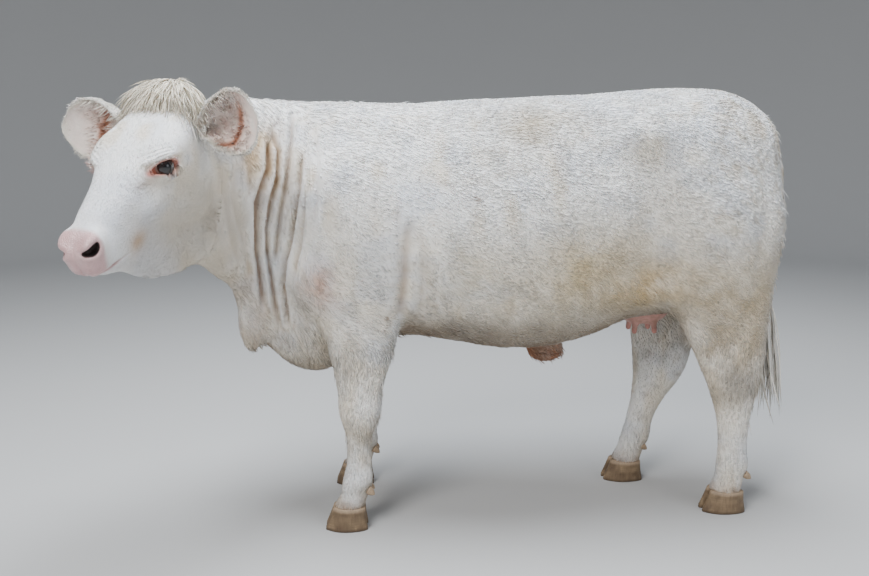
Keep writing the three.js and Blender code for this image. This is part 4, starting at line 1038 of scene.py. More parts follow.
def shade_tone(tree, shader, *lights):
    """Multiplies the painted tone by each light in turn and gives it to the shader."""
    tone = wire(tree, "ShaderNodeAttribute", {"attribute_name": "tone"}).outputs["Color"]
    for light in lights:
        scaled = wire(tree, "ShaderNodeVectorMath", {"operation": "SCALE"}, {0: tone, "Scale": light})
        tone = scaled.outputs["Vector"]
    tree.links.new(tone, shader.inputs["Base Color"])


def relief(tree, shader, height, strength, distance):
    bump = wire(tree, "ShaderNodeBump", None,
                {"Height": height, "Strength": strength, "Distance": distance})
    tree.links.new(bump.outputs["Normal"], shader.inputs["Normal"])


def object_place(tree, scale=(1, 1, 1)):
    place = wire(tree, "ShaderNodeTexCoord").outputs["Object"]
    return wire(tree, "ShaderNodeMapping", None, {"Vector": place, "Scale": scale}).outputs["Vector"]


def added(tree, a, b, operation="ADD"):
    return wire(tree, "ShaderNodeMath", {"operation": operation}, {0: a, 1: b}).outputs["Value"]


def short_coat():
    """Flat-lying hair over skin; where the painted bareness is one, moist pebbled skin."""
    material, tree, shader = new_material("short_coat", sheen=0.15, flesh=0.05)
    hairs = noise(tree, object_place(tree, (150, 330, 210)), 1.0, 5.0, 0.65, 0.6)
    clumps = noise(tree, object_place(tree), 60.0, 5.0, 0.62, 0.3)
    bare = wire(tree, "ShaderNodeAttribute", {"attribute_name": "bare"}).outputs["Fac"]
    cells = wire(tree, "ShaderNodeTexVoronoi", {"feature": "SMOOTH_F1"},
                 {"Vector": object_place(tree), "Scale": 330.0, "Smoothness": 0.7})
    pebbles = spread(tree, cells.outputs["Distance"], 0.1, 0.7, 1.0, 0.0)
    shade_tone(tree, shader, spread(tree, hairs, 0.3, 0.7, 0.93, 1.05),
               spread(tree, clumps, 0.3, 0.7, 0.95, 1.04))
    tree.links.new(spread(tree, bare, 0.0, 1.0, 0.8, 0.36), shader.inputs["Roughness"])
    furry = added(tree, added(tree, hairs, clumps), spread(tree, bare, 0.0, 1.0, 1.0, 0.12), "MULTIPLY")
    relief(tree, shader, added(tree, furry, added(tree, pebbles, bare, "MULTIPLY")), 0.5, 0.0016)
    return material


def hair_material(name, rough, sheen, low, high):
    """Locks of hair: streaked along their length by fine noise."""
    material, tree, shader = new_material(name, rough, sheen=sheen, flesh=0.04)
    streaks = noise(tree, object_place(tree, (900, 900, 420)), 1.0, 3.0, 0.6, 0.3)
    patches = noise(tree, object_place(tree), 24.0, 4.0, 0.6)
    shade_tone(tree, shader, spread(tree, streaks, 0.25, 0.75, low, high),
               spread(tree, patches, 0.3, 0.7, 0.95, 1.04))
    relief(tree, shader, streaks, 0.3, 0.0006)
    return material


def bare_skin():
    material, tree, shader = new_material("bare_pink_skin", 0.5, flesh=0.12, shine=0.45)
    folds = noise(tree, object_place(tree, (60, 60, 130)), 1.0, 5.0, 0.6, 1.2)
    pores = noise(tree, object_place(tree), 420.0, 2.0)
    shade_tone(tree, shader, spread(tree, folds, 0.3, 0.7, 0.8, 1.08))
    relief(tree, shader, added(tree, folds, added(tree, pores, 0.35, "MULTIPLY")), 0.45, 0.0016)
    return material


def horn():
    material, tree, shader = new_material("hoof_horn", 0.52, shine=0.4)
    fibres = noise(tree, object_place(tree, (260, 260, 26)), 1.0, 4.0, 0.6, 0.4)
    growth = noise(tree, object_place(tree, (8, 8, 210)), 1.0, 3.0, 0.5, 0.5)
    scuffs = noise(tree, object_place(tree), 34.0, 6.0, 0.7)
    shade_tone(tree, shader, spread(tree, fibres, 0.3, 0.7, 0.78, 1.14),
               spread(tree, scuffs, 0.35, 0.7, 0.82, 1.12))
    tree.links.new(spread(tree, scuffs, 0.3, 0.7, 0.42, 0.72), shader.inputs["Roughness"])
    relief(tree, shader, added(tree, growth, fibres), 0.5, 0.0014)
    return material


def wet_eye():
    material, tree, shader = new_material("wet_eye", 0.07, shine=0.45, coat=0.6)
    rays = noise(tree, object_place(tree), 520.0, 4.0, 0.6, 0.8)
    shade_tone(tree, shader, spread(tree, rays, 0.3, 0.7, 0.7, 1.25))
    return material


COAT = short_coat()
FUR = hair_material("coat_hair", 0.72, 0.2, 0.95, 1.05)
CURLS = hair_material("tuft_curls", 0.62, 0.3, 0.9, 1.08)
DUSTY = hair_material("switch_strands", 0.66, 0.2, 0.7, 1.15)
BARE = bare_skin()
HOOF = horn()
EYEBALL = wet_eye()


def store(obj, name, kind, values):
    """Keeps one value for each point of a mesh under a name."""
    layer = obj.data.attributes.new(name, kind, "POINT")
    field = {"FLOAT_COLOR": "color", "FLOAT_VECTOR": "vector", "FLOAT": "value"}[kind]
    values = np.asarray(values, float)
    if kind == "FLOAT_COLOR":
        values = np.concatenate([values, np.ones((len(values), 1))], 1)
    layer.data.foreach_set(field, values.ravel())


def places(obj):
    flat = np.empty(len(obj.data.vertices) * 3)
    obj.data.vertices.foreach_get("co", flat)
    return flat.reshape(-1, 3)


def point_normals(obj):
    flat = np.empty(len(obj.data.vertices) * 3)
    obj.data.vertex_normals.foreach_get("vector", flat)
    return flat.reshape(-1, 3)


# Unwrap: faces that look the same way in the same part of the body share a chart, and charts stand in rows
CHART_GAP = 0.01
# The page is this much wider than a square of the charts' total area
PAGE_WIDTH = 1.25


def unwrap(obj, zone_of):
    """Lays a mesh's faces out flat in charts, one for each way of facing in each zone."""
    mesh = obj.data
    count = len(mesh.polygons)
    normal, centre = np.empty(count * 3), np.empty(count * 3)
    mesh.polygons.foreach_get("normal", normal)
    mesh.polygons.foreach_get("center", centre)
    normal, centre = normal.reshape(-1, 3), to_animal(centre.reshape(-1, 3))
    axis = np.abs(normal).argmax(1)
    facing = normal[np.arange(count), axis] > 0
    chart = axis + 3 * facing + 6 * zone_of(centre)
    corners = np.empty(count, int)
    mesh.polygons.foreach_get("loop_total", corners)
    chart = np.repeat(chart, corners)
    axis = np.repeat(axis, corners)
    vertex = np.empty(len(mesh.loops), int)
    mesh.loops.foreach_get("vertex_index", vertex)
    place = places(obj)[vertex]
    row = np.arange(len(axis))
    flat = np.stack([place[row, (axis + 1) % 3], place[row, (axis + 2) % 3]], 1)
    sizes = {c: (flat[chart == c].min(0), flat[chart == c].max(0)) for c in np.unique(chart)}
    order = sorted(sizes, key=lambda c: -(sizes[c][1] - sizes[c][0])[1])
    width = PAGE_WIDTH * math.sqrt(sum(float((hi - lo + CHART_GAP).prod()) for lo, hi in sizes.values()))
    x = y = row = 0.0
    corner = {}
    for c in order:
        wide, tall = sizes[c][1] - sizes[c][0] + CHART_GAP
        if x + wide > width and x > 0:
            x, y, row = 0.0, y + row, 0.0
        corner[c] = np.array([x, y]) - sizes[c][0]
        x, row = x + wide, max(row, tall)
    for c in order:
        flat[chart == c] += corner[c]
    flat /= flat.max() + CHART_GAP
    mesh.uv_layers.new(name="OFBake").data.foreach_set("uv", flat.ravel())


def refine(obj, wanted, rounds):
    """Cuts the faces where `wanted` asks for it into four, each round."""
    for level in range(rounds):
        work = bmesh.new()
        work.from_mesh(obj.data)
        centres = np.array([f.calc_center_median() for f in work.faces])
        pick = wanted(to_animal(centres), level)
        work.faces.ensure_lookup_table()
        edges = {e for f, yes in zip(work.faces, pick) if yes for e in f.edges}
        bmesh.ops.subdivide_edges(work, edges=list(edges), cuts=1, use_grid_fill=True)
        work.to_mesh(obj.data)
        work.free()


def wants_detail(q, level):
    """Which faces are cut finer: head, folds and feet first, then the eyes, nose and mouth."""
    x, y, z = q.T
    a, u, _ = head_place(q)
    on_head = in_head_box(q, "fine")
    neck = (x < -560) & (y < 20) & (z > 480)
    _, neck_close = crease_depth(x, z, NECK_CREASES)
    _, body_close = crease_depth(x, z, BODY_CREASES)
    folded = (neck & (neck_close < 4.5)) | ((y < -80) & (body_close < 3.5))
    if level == 0:
        return on_head | folded | (z < 120)
    eye, nostril = [np.sqrt((from_feature(q, feature) ** 2).sum(1)) for feature in (EYE, NOSTRIL)]
    if level == 1:
        tight = folded & (np.minimum(neck_close, body_close) < 2.6)
        return (eye < 74) | (on_head & (a > 400)) | tight
    return (eye < 48) | (nostril < 36) | (on_head & (a > 360) & (mouth_gap(a, u) < 9))


RELAX_ROUNDS, REFINE_ROUNDS = 3, 3
# Low waves in the skin, drawn out upright
WAVE = {"high": 1.6, "apart": 34, "stretch": np.array([1.0, 1.0, 0.3])}


def make_skin():
    points, quads = surface_net(flesh_distance, SKIN_LOW, SKIN_HIGH, SKIN_CELL)
    for _ in range(RELAX_ROUNDS):
        points = evened(points, quads, 0.5)
        points = draw_onto(flesh_distance, points, SKIN_CELL)
    obj = mesh_object("skin", to_model(points), quads, COAT)
    refine(obj, wants_detail, REFINE_ROUNDS)
    points = draw_onto(skin_distance, sunk_in(to_animal(places(obj))), 8.0, rounds=5)
    put(obj, points)
    sink = fold_sink(points)
    wave = WAVE["high"] * (grain(points * WAVE["stretch"], WAVE["apart"], 7) - 0.5)
    points = points - point_normals(obj) * (sink + muscle_sink(points) + wave)[:, None]
    put(obj, points)
    normal = point_normals(obj)
    store(obj, "tone", "FLOAT_COLOR", skin_tone(points, normal, sink))
    store(obj, "bare", "FLOAT", bareness(points))
    unwrap(obj, body_zone)
    return obj, points, normal, sink


def body_zone(p):
    """Numbers the head, trunk, fore legs and hind legs, each with its left and right."""
    x, y, z = p.T
    zone = np.where(z < 600, np.where(x < 0, 2, 3), 1)
    zone = np.where(in_head_box(p, "chart"), 0, zone)
    right = np.where(zone == 0, head_place(p)[2] < 0, y > spine_y(x))
    return zone * 2 + right


skin, skin_points, skin_normals, skin_sink = make_skin()
FLESH = ["shoulders", "barrel", "hindquarters", "neck", "head", "tail"]
FLESH += [f"leg_{leg}_{part}" for leg in LEGS for part in ("upper", "lower")]
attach(skin, "root")
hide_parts(*FLESH)


# Hair: one tree of thin tapered tufts, scattered over a skin painted with their cover, length and lie
TUFT_SIZES = [
    ("Density", "NodeSocketFloat", 20000.0),
    ("Length", "NodeSocketFloat", 0.022),
    ("Width", "NodeSocketFloat", 0.0023),
    ("Thickness", "NodeSocketFloat", 0.0007),
    ("Lift", "NodeSocketFloat", 0.03),
    ("Stray", "NodeSocketFloat", 0.1),
    ("Uneven", "NodeSocketFloat", 0.4),
    ("Sway", "NodeSocketFloat", 0.12),
    ("Droop", "NodeSocketFloat", 0.0),
    ("Shade", "NodeSocketFloat", 0.05),
    ("Segments", "NodeSocketInt", 2),
    ("Seed", "NodeSocketInt", 1),
    ("Material", "NodeSocketMaterial", None),
]
# The share of the unwrap that one tuft takes
PATCH = 0.003
# How far a tuft swells, arches and leans over, and the least and most that it rises
TUFT_SWELL, TUFT_ARCH, TUFT_LEAN = 1.7, 0.16, 0.45
TUFT_RISE = (0.3, 1.5)
# Painted shade: a tuft is darker at its root, where the tufts shade each other, and pales by the first over
# its length, from the second at its root
TUFT_ROOT_SHADE = (0.1, 0.94)


class TuftWiring:
    """The tuft tree with its named inputs, and short ways to add the nodes it is wired from."""

    def __init__(self):
        self.tree = bpy.data.node_groups.new("hair_tufts", "GeometryNodeTree")
        sockets = self.tree.interface
        sockets.new_socket("Geometry", in_out="INPUT", socket_type="NodeSocketGeometry")
        for label, kind, value in TUFT_SIZES:
            socket = sockets.new_socket(label, in_out="INPUT", socket_type=kind)
            if value is not None:
                socket.default_value = value
        sockets.new_socket("Geometry", in_out="OUTPUT", socket_type="NodeSocketGeometry")
        self.size = self.add("NodeGroupInput")

    def add(self, kind, settings=None, sockets=None):
        return wire(self.tree, kind, settings, sockets).outputs

    def math(self, operation, a, b=0.0, c=0.0):
        return self.add("ShaderNodeMath", {"operation": operation}, {0: a, 1: b, 2: c})["Value"]

    def times(self, first, *others):
        for other in others:
            first = self.math("MULTIPLY", first, other)
        return first

    def vector(self, operation, a, b):
        return self.add("ShaderNodeVectorMath", {"operation": operation}, {0: a, 1: b})["Vector"]

    def scaled(self, a, scale):
        return self.add("ShaderNodeVectorMath", {"operation": "SCALE"}, {0: a, "Scale": scale})["Vector"]

    def built(self, x, y, z):
        return self.add("ShaderNodeCombineXYZ", None, {"X": x, "Y": y, "Z": z})["Vector"]

    def named(self, name, kind="FLOAT"):
        return self.add("GeometryNodeInputNamedAttribute", {"data_type": kind}, {"Name": name})["Attribute"]

    def kept(self, geometry, name, kind, value, domain="POINT"):
        return self.add("GeometryNodeStoreNamedAttribute", {"data_type": kind, "domain": domain},
                        {"Geometry": geometry, "Name": name, "Value": value})["Geometry"]

    def chance(self, low, high, turn):
        seed = self.math("ADD", self.size["Seed"], turn)
        return self.add("FunctionNodeRandomValue", {"data_type": "FLOAT"},
                        {"Min": low, "Max": high, "Seed": seed})[1]


def tuft_cone(w):
    """A three-sided cone laid along X, widest near its root and arched off the skin."""
    size = w.size
    cone = w.add("GeometryNodeMeshCone", {"fill_type": "NGON"},
                 {"Vertices": 3, "Side Segments": size["Segments"], "Radius Top": 0.0, "Radius Bottom": 1.0,
                  "Depth": 1.0})["Mesh"]
    spot_at = w.add("GeometryNodeInputPosition")["Position"]
    across, upright, along = w.add("ShaderNodeSeparateXYZ", None, {"Vector": spot_at}).values()
    swell = w.math("MULTIPLY_ADD", along, TUFT_SWELL, 1.0)
    arch = w.times(along, w.math("SUBTRACT", 1.0, along), TUFT_ARCH)
    high = w.math("ADD", w.times(upright, swell, size["Thickness"]), w.times(arch, size["Length"]))
    shaped = w.built(w.times(along, size["Length"]), w.times(across, swell, size["Width"]), high)
    cone = w.kept(cone, "reach", "FLOAT", along)
    cone = w.kept(cone, "side", "FLOAT", across)
    return w.add("GeometryNodeSetPosition", None, {"Geometry": cone, "Position": shaped})["Geometry"]


def standing_tufts(w):
    """Roots scattered by the painted cover, and a cone on each that lies the painted way."""
    size = w.size
    dense = w.times(size["Density"], w.named("cover"))
    roots = w.add("GeometryNodeDistributePointsOnFaces", {"distribute_method": "RANDOM"},
                  {"Mesh": size["Geometry"], "Density": dense, "Seed": size["Seed"]})
    points = w.kept(roots["Points"], "root", "FLOAT_VECTOR", w.named("OFBake", "FLOAT_VECTOR"))
    stray = w.built(w.chance(-1.0, 1.0, 1), w.chance(-1.0, 1.0, 2), w.chance(-1.0, 1.0, 3))
    lie = w.vector("ADD", w.named("lie", "FLOAT_VECTOR"), w.scaled(stray, size["Stray"]))
    flat = w.add("ShaderNodeVectorMath", {"operation": "NORMALIZE"}, {0: lie})["Vector"]
    rise = w.times(size["Lift"], w.chance(*TUFT_RISE, 4))
    way = w.vector("ADD", flat, w.scaled(roots["Normal"], rise))
    lean = w.vector("ADD", roots["Normal"], w.scaled(stray, TUFT_LEAN))
    shorter = w.math("SUBTRACT", 1.0, w.times(w.chance(0.0, 1.0, 7), size["Uneven"]))
    scale = w.times(w.named("size"), shorter)
    shade = w.math("MULTIPLY_ADD", w.chance(-1.0, 1.0, 6), size["Shade"], 1.0)
    points = w.kept(points, "across", "FLOAT_VECTOR", w.vector("CROSS_PRODUCT", lean, way))
    points = w.kept(points, "sway", "FLOAT", w.times(w.chance(-1.0, 1.0, 5), size["Sway"]))
    points = w.kept(points, "tone", "FLOAT_COLOR", w.scaled(w.named("tone", "FLOAT_VECTOR"), shade))
    points = w.kept(points, "grown", "FLOAT", scale)
    turn = w.add("FunctionNodeAxesToRotation", {"primary_axis": "X", "secondary_axis": "Z"},
                 {"Primary Axis": way, "Secondary Axis": lean})["Rotation"]
    sockets = {"Points": points, "Instance": tuft_cone(w), "Rotation": turn, "Scale": scale}
    return w.add("GeometryNodeInstanceOnPoints", None, sockets)["Instances"]


def tuft_tree():
    """Each tuft bends its own way, pales towards its tip from a root in painted shade, and takes the root's
    place on the unwrap.
    """
    w = TuftWiring()
    hair = w.add("GeometryNodeRealizeInstances", None, {"Geometry": standing_tufts(w)})["Geometry"]
    reach = w.named("reach")
    far = w.math("MULTIPLY", w.times(reach, reach), w.times(w.size["Length"], w.named("grown")))
    bend = w.scaled(w.named("across", "FLOAT_VECTOR"), w.times(far, w.named("sway")))
    fall = w.built(0.0, 0.0, w.times(far, w.size["Droop"], -1.0))
    hair = w.add("GeometryNodeSetPosition", None,
                 {"Geometry": hair, "Offset": w.vector("ADD", bend, fall)})["Geometry"]
    # Painted shade at each tuft's root, lighter towards its tip
    root_shade = w.math("MULTIPLY_ADD", reach, *TUFT_ROOT_SHADE)
    hair = w.kept(hair, "tone", "FLOAT_COLOR", w.scaled(w.named("tone", "FLOAT_VECTOR"), root_shade))
    patch = w.scaled(w.built(reach, w.named("side"), 0.0), PATCH)
    place = w.vector("ADD", w.named("root", "FLOAT_VECTOR"), patch)
    hair = w.kept(hair, "OFBake", "FLOAT2", place, "CORNER")
    for name in ("reach", "side", "root", "across", "sway", "grown", "lie", "size", "cover", "bare"):
        hair = w.add("GeometryNodeRemoveAttribute", None, {"Geometry": hair, "Name": name})["Geometry"]
    done = w.add("GeometryNodeSetMaterial", None, {"Geometry": hair, "Material": w.size["Material"]})
    out = w.tree.nodes.new("NodeGroupOutput")
    w.tree.links.new(done["Geometry"], out.inputs["Geometry"])
    return w.tree


TUFTS = tuft_tree()
SOCKETS = {item.name: item.identifier for item in TUFTS.interface.items_tree if item.in_out == "INPUT"}


def grow(name, bed, material, slot, cover, length, lie, replaces=(), **sizes):
    """Grows tufts on a copy of the bed and keeps them as one plain piece."""
    ground = bed.copy()
    ground.data = bed.data.copy()
    bpy.context.scene.collection.objects.link(ground)
    store(ground, "cover", "FLOAT", cover)
    store(ground, "size", "FLOAT", length)
    store(ground, "lie", "FLOAT_VECTOR", lie)
    modifier = ground.modifiers.new("hair", "NODES")
    modifier.node_group = TUFTS
    for label, value in {"Material": material, **sizes}.items():
        modifier[SOCKETS[label]] = value
    graph = bpy.context.evaluated_depsgraph_get()
    grown = bpy.data.meshes.new_from_object(ground.evaluated_get(graph), preserve_all_data_layers=True,
                                            depsgraph=graph)
    bpy.data.objects.remove(ground)
    grown.name = name
    hair = bpy.data.objects.new(name, grown)
    bpy.context.scene.collection.objects.link(hair)
    if not grown.materials:
        grown.materials.append(material)
    grown.shade_smooth()
    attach(hair, "root")
    if replaces:
        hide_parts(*replaces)


def coat_regions(p):
    """Shares of the body, one for each piece of the coat."""
    x, y, z = p.T
    head = in_head_box(p, "haired")
    low = z < 590
    neck = (x < -610) & ~head & (z >= 430)
    shoulders = (x < -270) & ~low & ~head & ~neck
    barrel = (np.abs(x - 10) <= 280) & (z > 400)
    rump = (x > 290) & ~low
    fore_legs = (x < 0) & low & ~neck & ~head & ~barrel
    hind_legs = (x >= 0) & low & ~barrel
    left = y < 0
    return {
        "head_coat": head,
        "neck_coat": neck,
        "shoulder_coat": shoulders,
        "barrel_left_coat": barrel & left,
        "barrel_right_coat": barrel & ~left,
        "rump_left_coat": rump & left,
        "rump_right_coat": rump & ~left,
        "fore_leg_coat": fore_legs,
        "hind_leg_coat": hind_legs,
    }


def coat_length(p):
    """How long the hair is at each point, against the hair of the barrel."""
    z = p[:, 2]
    a, _, _ = head_place(p)
    face = rising(a, 20, 90) * in_head_box(p, "beside")
    legs = falling(z, 620, 220)
    size = 1.0 + 0.25 * falling(z, 640, 60) * (z > 440)
    size = size + (0.6 - size) * np.maximum(face, 0.8 * legs)
    eye = falling(lid_place(p)[3], 2.4, 1.2) * face
    muzzle = rising(a, 380, 60) * face
    return size * (1 - 0.45 * np.maximum(eye, muzzle)) * (0.8 + 0.4 * grain(p, 46, 8))


# Tufts to the square metre, before the painted cover thins them
HAIR_DENSITY = {
    "head_coat": 56000.0,
    "neck_coat": 17500.0,
    "shoulder_coat": 18500.0,
    "barrel_left_coat": 30000.0,
    "barrel_right_coat": 22000.0,
    "rump_left_coat": 30000.0,
    "rump_right_coat": 22000.0,
    "fore_leg_coat": 30000.0,
    "hind_leg_coat": 24000.0,
}
FACE_HAIR = {"Length": 0.019, "Width": 0.0015, "Lift": 0.015, "Segments": 1}
skin_x, skin_y, skin_z = skin_points.T
head_a, head_u, head_l = head_place(skin_points)
_, lid_up, lid_out, lid_edge = lid_place(skin_points)
everywhere = np.ones(len(skin_points))

# The coat thins out over the folds and stops at bare skin, the lids and the hooves
skin_lie = lie_direction(skin_points, skin_normals)
skin_length = coat_length(skin_points) * (1 - 0.5 * clamp01(np.abs(skin_sink) / 3))
haired = (1 - smooth_step(bareness(skin_points) * 2)) * (skin_z > 70) * (1 - 0.6 * clamp01(skin_sink / 5))
haired = haired * np.where((lid_edge < 1.15) & (lid_out > -6), 0.0, 1.0)
for seed, (region, inside) in enumerate(coat_regions(skin_points).items()):
    sizes = FACE_HAIR if region == "head_coat" else {}
    grow(region, skin, FUR, "coat", haired * inside, skin_length, skin_lie, Density=HAIR_DENSITY[region],
         Seed=seed + 1, **sizes)

# The poll tuft parts to both sides and falls over the forehead
on_dome = ((head_a - DOME[0]) / 62) ** 2 + ((head_u - DOME[1]) / 52) ** 2 + (head_l / 92) ** 2
dome_cover = falling(on_dome, 1.5, 0.3) * (head_u > -30) * (skin_y < -200)
parted = np.sign(head_l)[:, None] * smooth_step(np.abs(head_l) / 60)[:, None] * SIDE
dome_lie = parted * 1.1 + ALONG * (1.15 - 0.5 * smooth_step(np.abs(head_l) / 80))[:, None] - UP * 0.2
for axis in range(3):
    dome_lie[:, axis] += 0.5 * (grain(skin_points, 30, 50 + axis) - 0.5)
dome_lie -= skin_normals * (dome_lie * skin_normals).sum(1)[:, None]
dome_length = 0.75 + 0.5 * grain(skin_points, 26, 60)
grow("poll_tuft_locks", skin, CURLS, "tuft_hair", dome_cover, dome_length, dome_lie, ("poll_tuft",),
     Density=62000.0, Length=0.088, Width=0.0025, Thickness=0.0014, Lift=0.04, Stray=0.08, Uneven=0.55,
     Sway=0.32, Droop=0.3, Shade=0.13, Segments=4, Seed=31)

# The switch hangs from the last part of the tail
at_tail_end = (np.abs(skin_y - TAIL_Y) < 40) * (skin_x > 760)
switch_cover = at_tail_end * falling(skin_z, 655, 60) * (skin_z > 480)
down = np.tile([0.03, 0.0, -1.0], (len(skin_points), 1))
grow("tail_switch_locks", skin, DUSTY, "switch_hair", switch_cover, everywhere, down, ("tail_switch",),
     Density=24000.0, Length=0.30, Width=0.006, Thickness=0.003, Lift=0.11, Stray=0.06, Uneven=0.72,
     Sway=0.16, Droop=0.06, Shade=0.3, Segments=7, Seed=32)

# Where longer hair breaks the outline on both sides: a place and its reach
ROUGH_PLACES = {
    "tail_head": ((745, 0, 1210), (50, 60, 60)),
    "hocks": ((700, 140, 420), (50, 60, 60)),
    "belly": ((80, 0, 500), (90, 40, 40)),
    "back_of_thighs": ((740, 120, 900), (50, 90, 260)),
    "crest": ((-700, 0, 1290), (200, 40, 40)),
    "flanks": ((300, 190, 690), (110, 60, 50)),
    "elbows": ((-470, 150, 560), (90, 60, 60)),
    "knees": ((-490, 165, 360), (40, 60, 90)),
}
rough = clamp01(sum(both_sides(skin_points, *place) for place in ROUGH_PLACES.values())) * haired
rough_length = 0.7 + 0.6 * grain(skin_points, 40, 70)
grow("long_coat_tufts", skin, FUR, "coat", rough, rough_length, skin_lie, Density=15000.0, Length=0.032,
     Width=0.0022, Thickness=0.001, Lift=0.16, Stray=0.2, Uneven=0.5, Sway=0.3, Droop=0.2, Segments=3,
     Seed=33)

# Eyelashes stand in a band round the upper lid
lash_band = (lid_edge > 1.1) & (lid_edge < 1.3) & (lid_up > 4) & (lid_out > 2) & (head_a > 100)
lash_lie = head_way(EYE_AXIS, skin_points) + 0.5 * UP + 0.2 * ALONG
grow("eyelashes", skin, CURLS, "tuft_hair", lash_band * 1.0, everywhere, lash_lie, Density=170000.0,
     Length=0.019, Width=0.0009, Thickness=0.0007, Lift=0.1, Stray=0.18, Uneven=0.5, Sway=0.25, Droop=0.1,
     Segments=3, Seed=34)


# Rings of points joined into closed shells
def shell(name, rings, material, tone, replaces):
    """A closed shell through rings of equal length, with its two ends filled."""
    rings = np.asarray(rings)
    count, around = rings.shape[:2]
    faces = []
    for i in range(count - 1):
        for k in range(around):
            q = (k + 1) % around
            faces.append((i * around + k, i * around + q, (i + 1) * around + q, (i + 1) * around + k))
    faces.append(tuple(range(around))[::-1])
    faces.append(tuple((count - 1) * around + k for k in range(around)))
    points = rings.reshape(-1, 3)
    obj = mesh_object(name, to_model(points), faces, material)
    work = bmesh.new()
    work.from_mesh(obj.data)
    bmesh.ops.recalc_face_normals(work, faces=work.faces)
    work.to_mesh(obj.data)
    work.free()
    store(obj, "tone", "FLOAT_COLOR", tone(points))
    store(obj, "bare", "FLOAT", np.zeros(len(points)))
    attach(obj, "root")
    if replaces:
        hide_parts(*replaces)
    return obj


# Ears: crescent sections; each has its half width, the cup's depth, the wall and how far round it reaches
EAR_ROOT = (36, -72, 102)
EAR_LENGTH = 214.0
EAR_SECTIONS = [
    (0, 34, 1.0, 27, 165),
    (0.13, 42, 0.92, 19, 138),
    (0.3, 66, 0.72, 12, 112),
    (0.5, 80, 0.5, 9, 98),
    (0.7, 77, 0.4, 8, 90),
    (0.86, 58, 0.34, 7, 84),
    (0.96, 30, 0.3, 6, 76),
    (1, 10, 0.3, 5, 66),
]
# Each ear: its side of the head, the way it points, and the way its cup opens
EARS = {
    "left": (1, (0.73, -0.66, 0.1), (-0.3, -0.93, -0.1)),
    "right": (-1, (-0.97, 0.22, 0), (-0.1, -0.97, -0.12)),
}
EAR_ROWS, EAR_AROUND = 44, 26
# Ruffles round the ear's edge, and ridges inside its cup
RUFFLE = {"deep": 0.012, "along": 9, "round": 3}
RIDGE = {"deep": 1.4, "round": 4}


def unit(v):
    v = np.asarray(v, float)
    return v / np.linalg.norm(v)


def make_ear(name):
    """The ear's shell, with how far along, how far round and how far in each of its points lies."""
    side, reach, opening = EARS[name]
    axis = unit(reach)
    across = unit(np.cross(opening, axis))
    opening = unit(np.cross(axis, across))
    root = head_point(EAR_ROOT[0], EAR_ROOT[1], EAR_ROOT[2] * side)
    table = np.array(EAR_SECTIONS, float)
    rings = []
    marks = []
    for s in np.linspace(0.02, 1.0, EAR_ROWS):
        wall, turn = [np.interp(s, table[:, 0], table[:, k]) for k in (3, 4)]
        i = min(np.searchsorted(table[:, 0], s, side="right") - 1, len(table) - 2)
        t = (s - table[i, 0]) / (table[i + 1, 0] - table[i, 0])
        half, cup = spline(table[:, 1], i, t), spline(table[:, 2], i, t)
        angle = np.radians(np.linspace(-turn, turn, EAR_AROUND))
        to_rim = np.abs(np.linspace(-1, 1, EAR_AROUND)) ** 6
        ruffle = 1 + RUFFLE["deep"] * np.sin(RUFFLE["along"] * s * math.pi + RUFFLE["round"] * angle)
        centre = root + axis * s * EAR_LENGTH
        ring = []
        for inner in (0, 1):
            r = half * ruffle - 2.0 - inner * np.maximum(wall - 3.5, 2.5) * (1 - 0.6 * to_rim)
            r = r - inner * RIDGE["deep"] * np.abs(np.sin(RIDGE["round"] * angle)) * (1 - s)
            side_points = centre + across * (r * np.sin(angle))[:, None]
            side_points = side_points - opening * (r * np.cos(angle) * cup)[:, None]
            flat = np.ones(EAR_AROUND)
            mark = np.stack([flat * s, angle / math.radians(turn), flat * inner], 1)
            ring.append(side_points[::-1] if inner else side_points)
            marks.append(mark[::-1] if inner else mark)
        rings.append(np.concatenate(ring))
    marks = np.concatenate(marks)
    ear = shell(f"ear_{name}_shell", rings, COAT, lambda q: ear_tone(q, marks), (f"ear_{name}",))
    unwrap(ear, lambda q: np.zeros(len(q), int))
    return ear, marks, axis, across, opening


def canal(marks):
    """How deep a place of the cup lies in the slit that leads down into the ear."""
    s, round_it, inner = marks.T
    slit = bell(round_it + 0.8, 3.0 * (s - 0.25), 0.24)
    return slit * rising(s, 0.16, 0.08) * falling(s, 0.66, 0.1) * inner


def ear_tone(points, marks):
    """Cream hair on the back, pale pink inside with an orange slit, and a cream rim."""
    back = blended(np.tile(CREAM, (len(points), 1)), WHITE, 0.35 + 0.5 * grain(points, 40, 11))
    back = blended(back, DUST, 0.35 * rising(grain(points, 26, 12), 0.5, 0.2))
    flesh = blended(np.tile(EAR_WHITE, (len(points), 1)), EAR_PINK, grain(points, 30, 13))
    flesh = blended(flesh, SLIT_ORANGE, canal(marks) * 0.9)
    flesh = blended(flesh, SLIT_BROWN, canal(marks) ** 3 * (0.5 + 0.5 * grain(points, 9, 14)))
    rim = np.maximum(rising(np.abs(marks[:, 1]), 0.72, 0.2), rising(marks[:, 0], 0.9, 0.08))
    return np.where(marks[:, 2:] > 0.5, blended(flesh, CREAM, rim), back)


def spin_noise(points, amount, seed):
    """A small turn of the hair that differs from patch to patch."""
    return np.stack([grain(points, 22, seed + k) - 0.5 for k in range(3)], 1) * amount


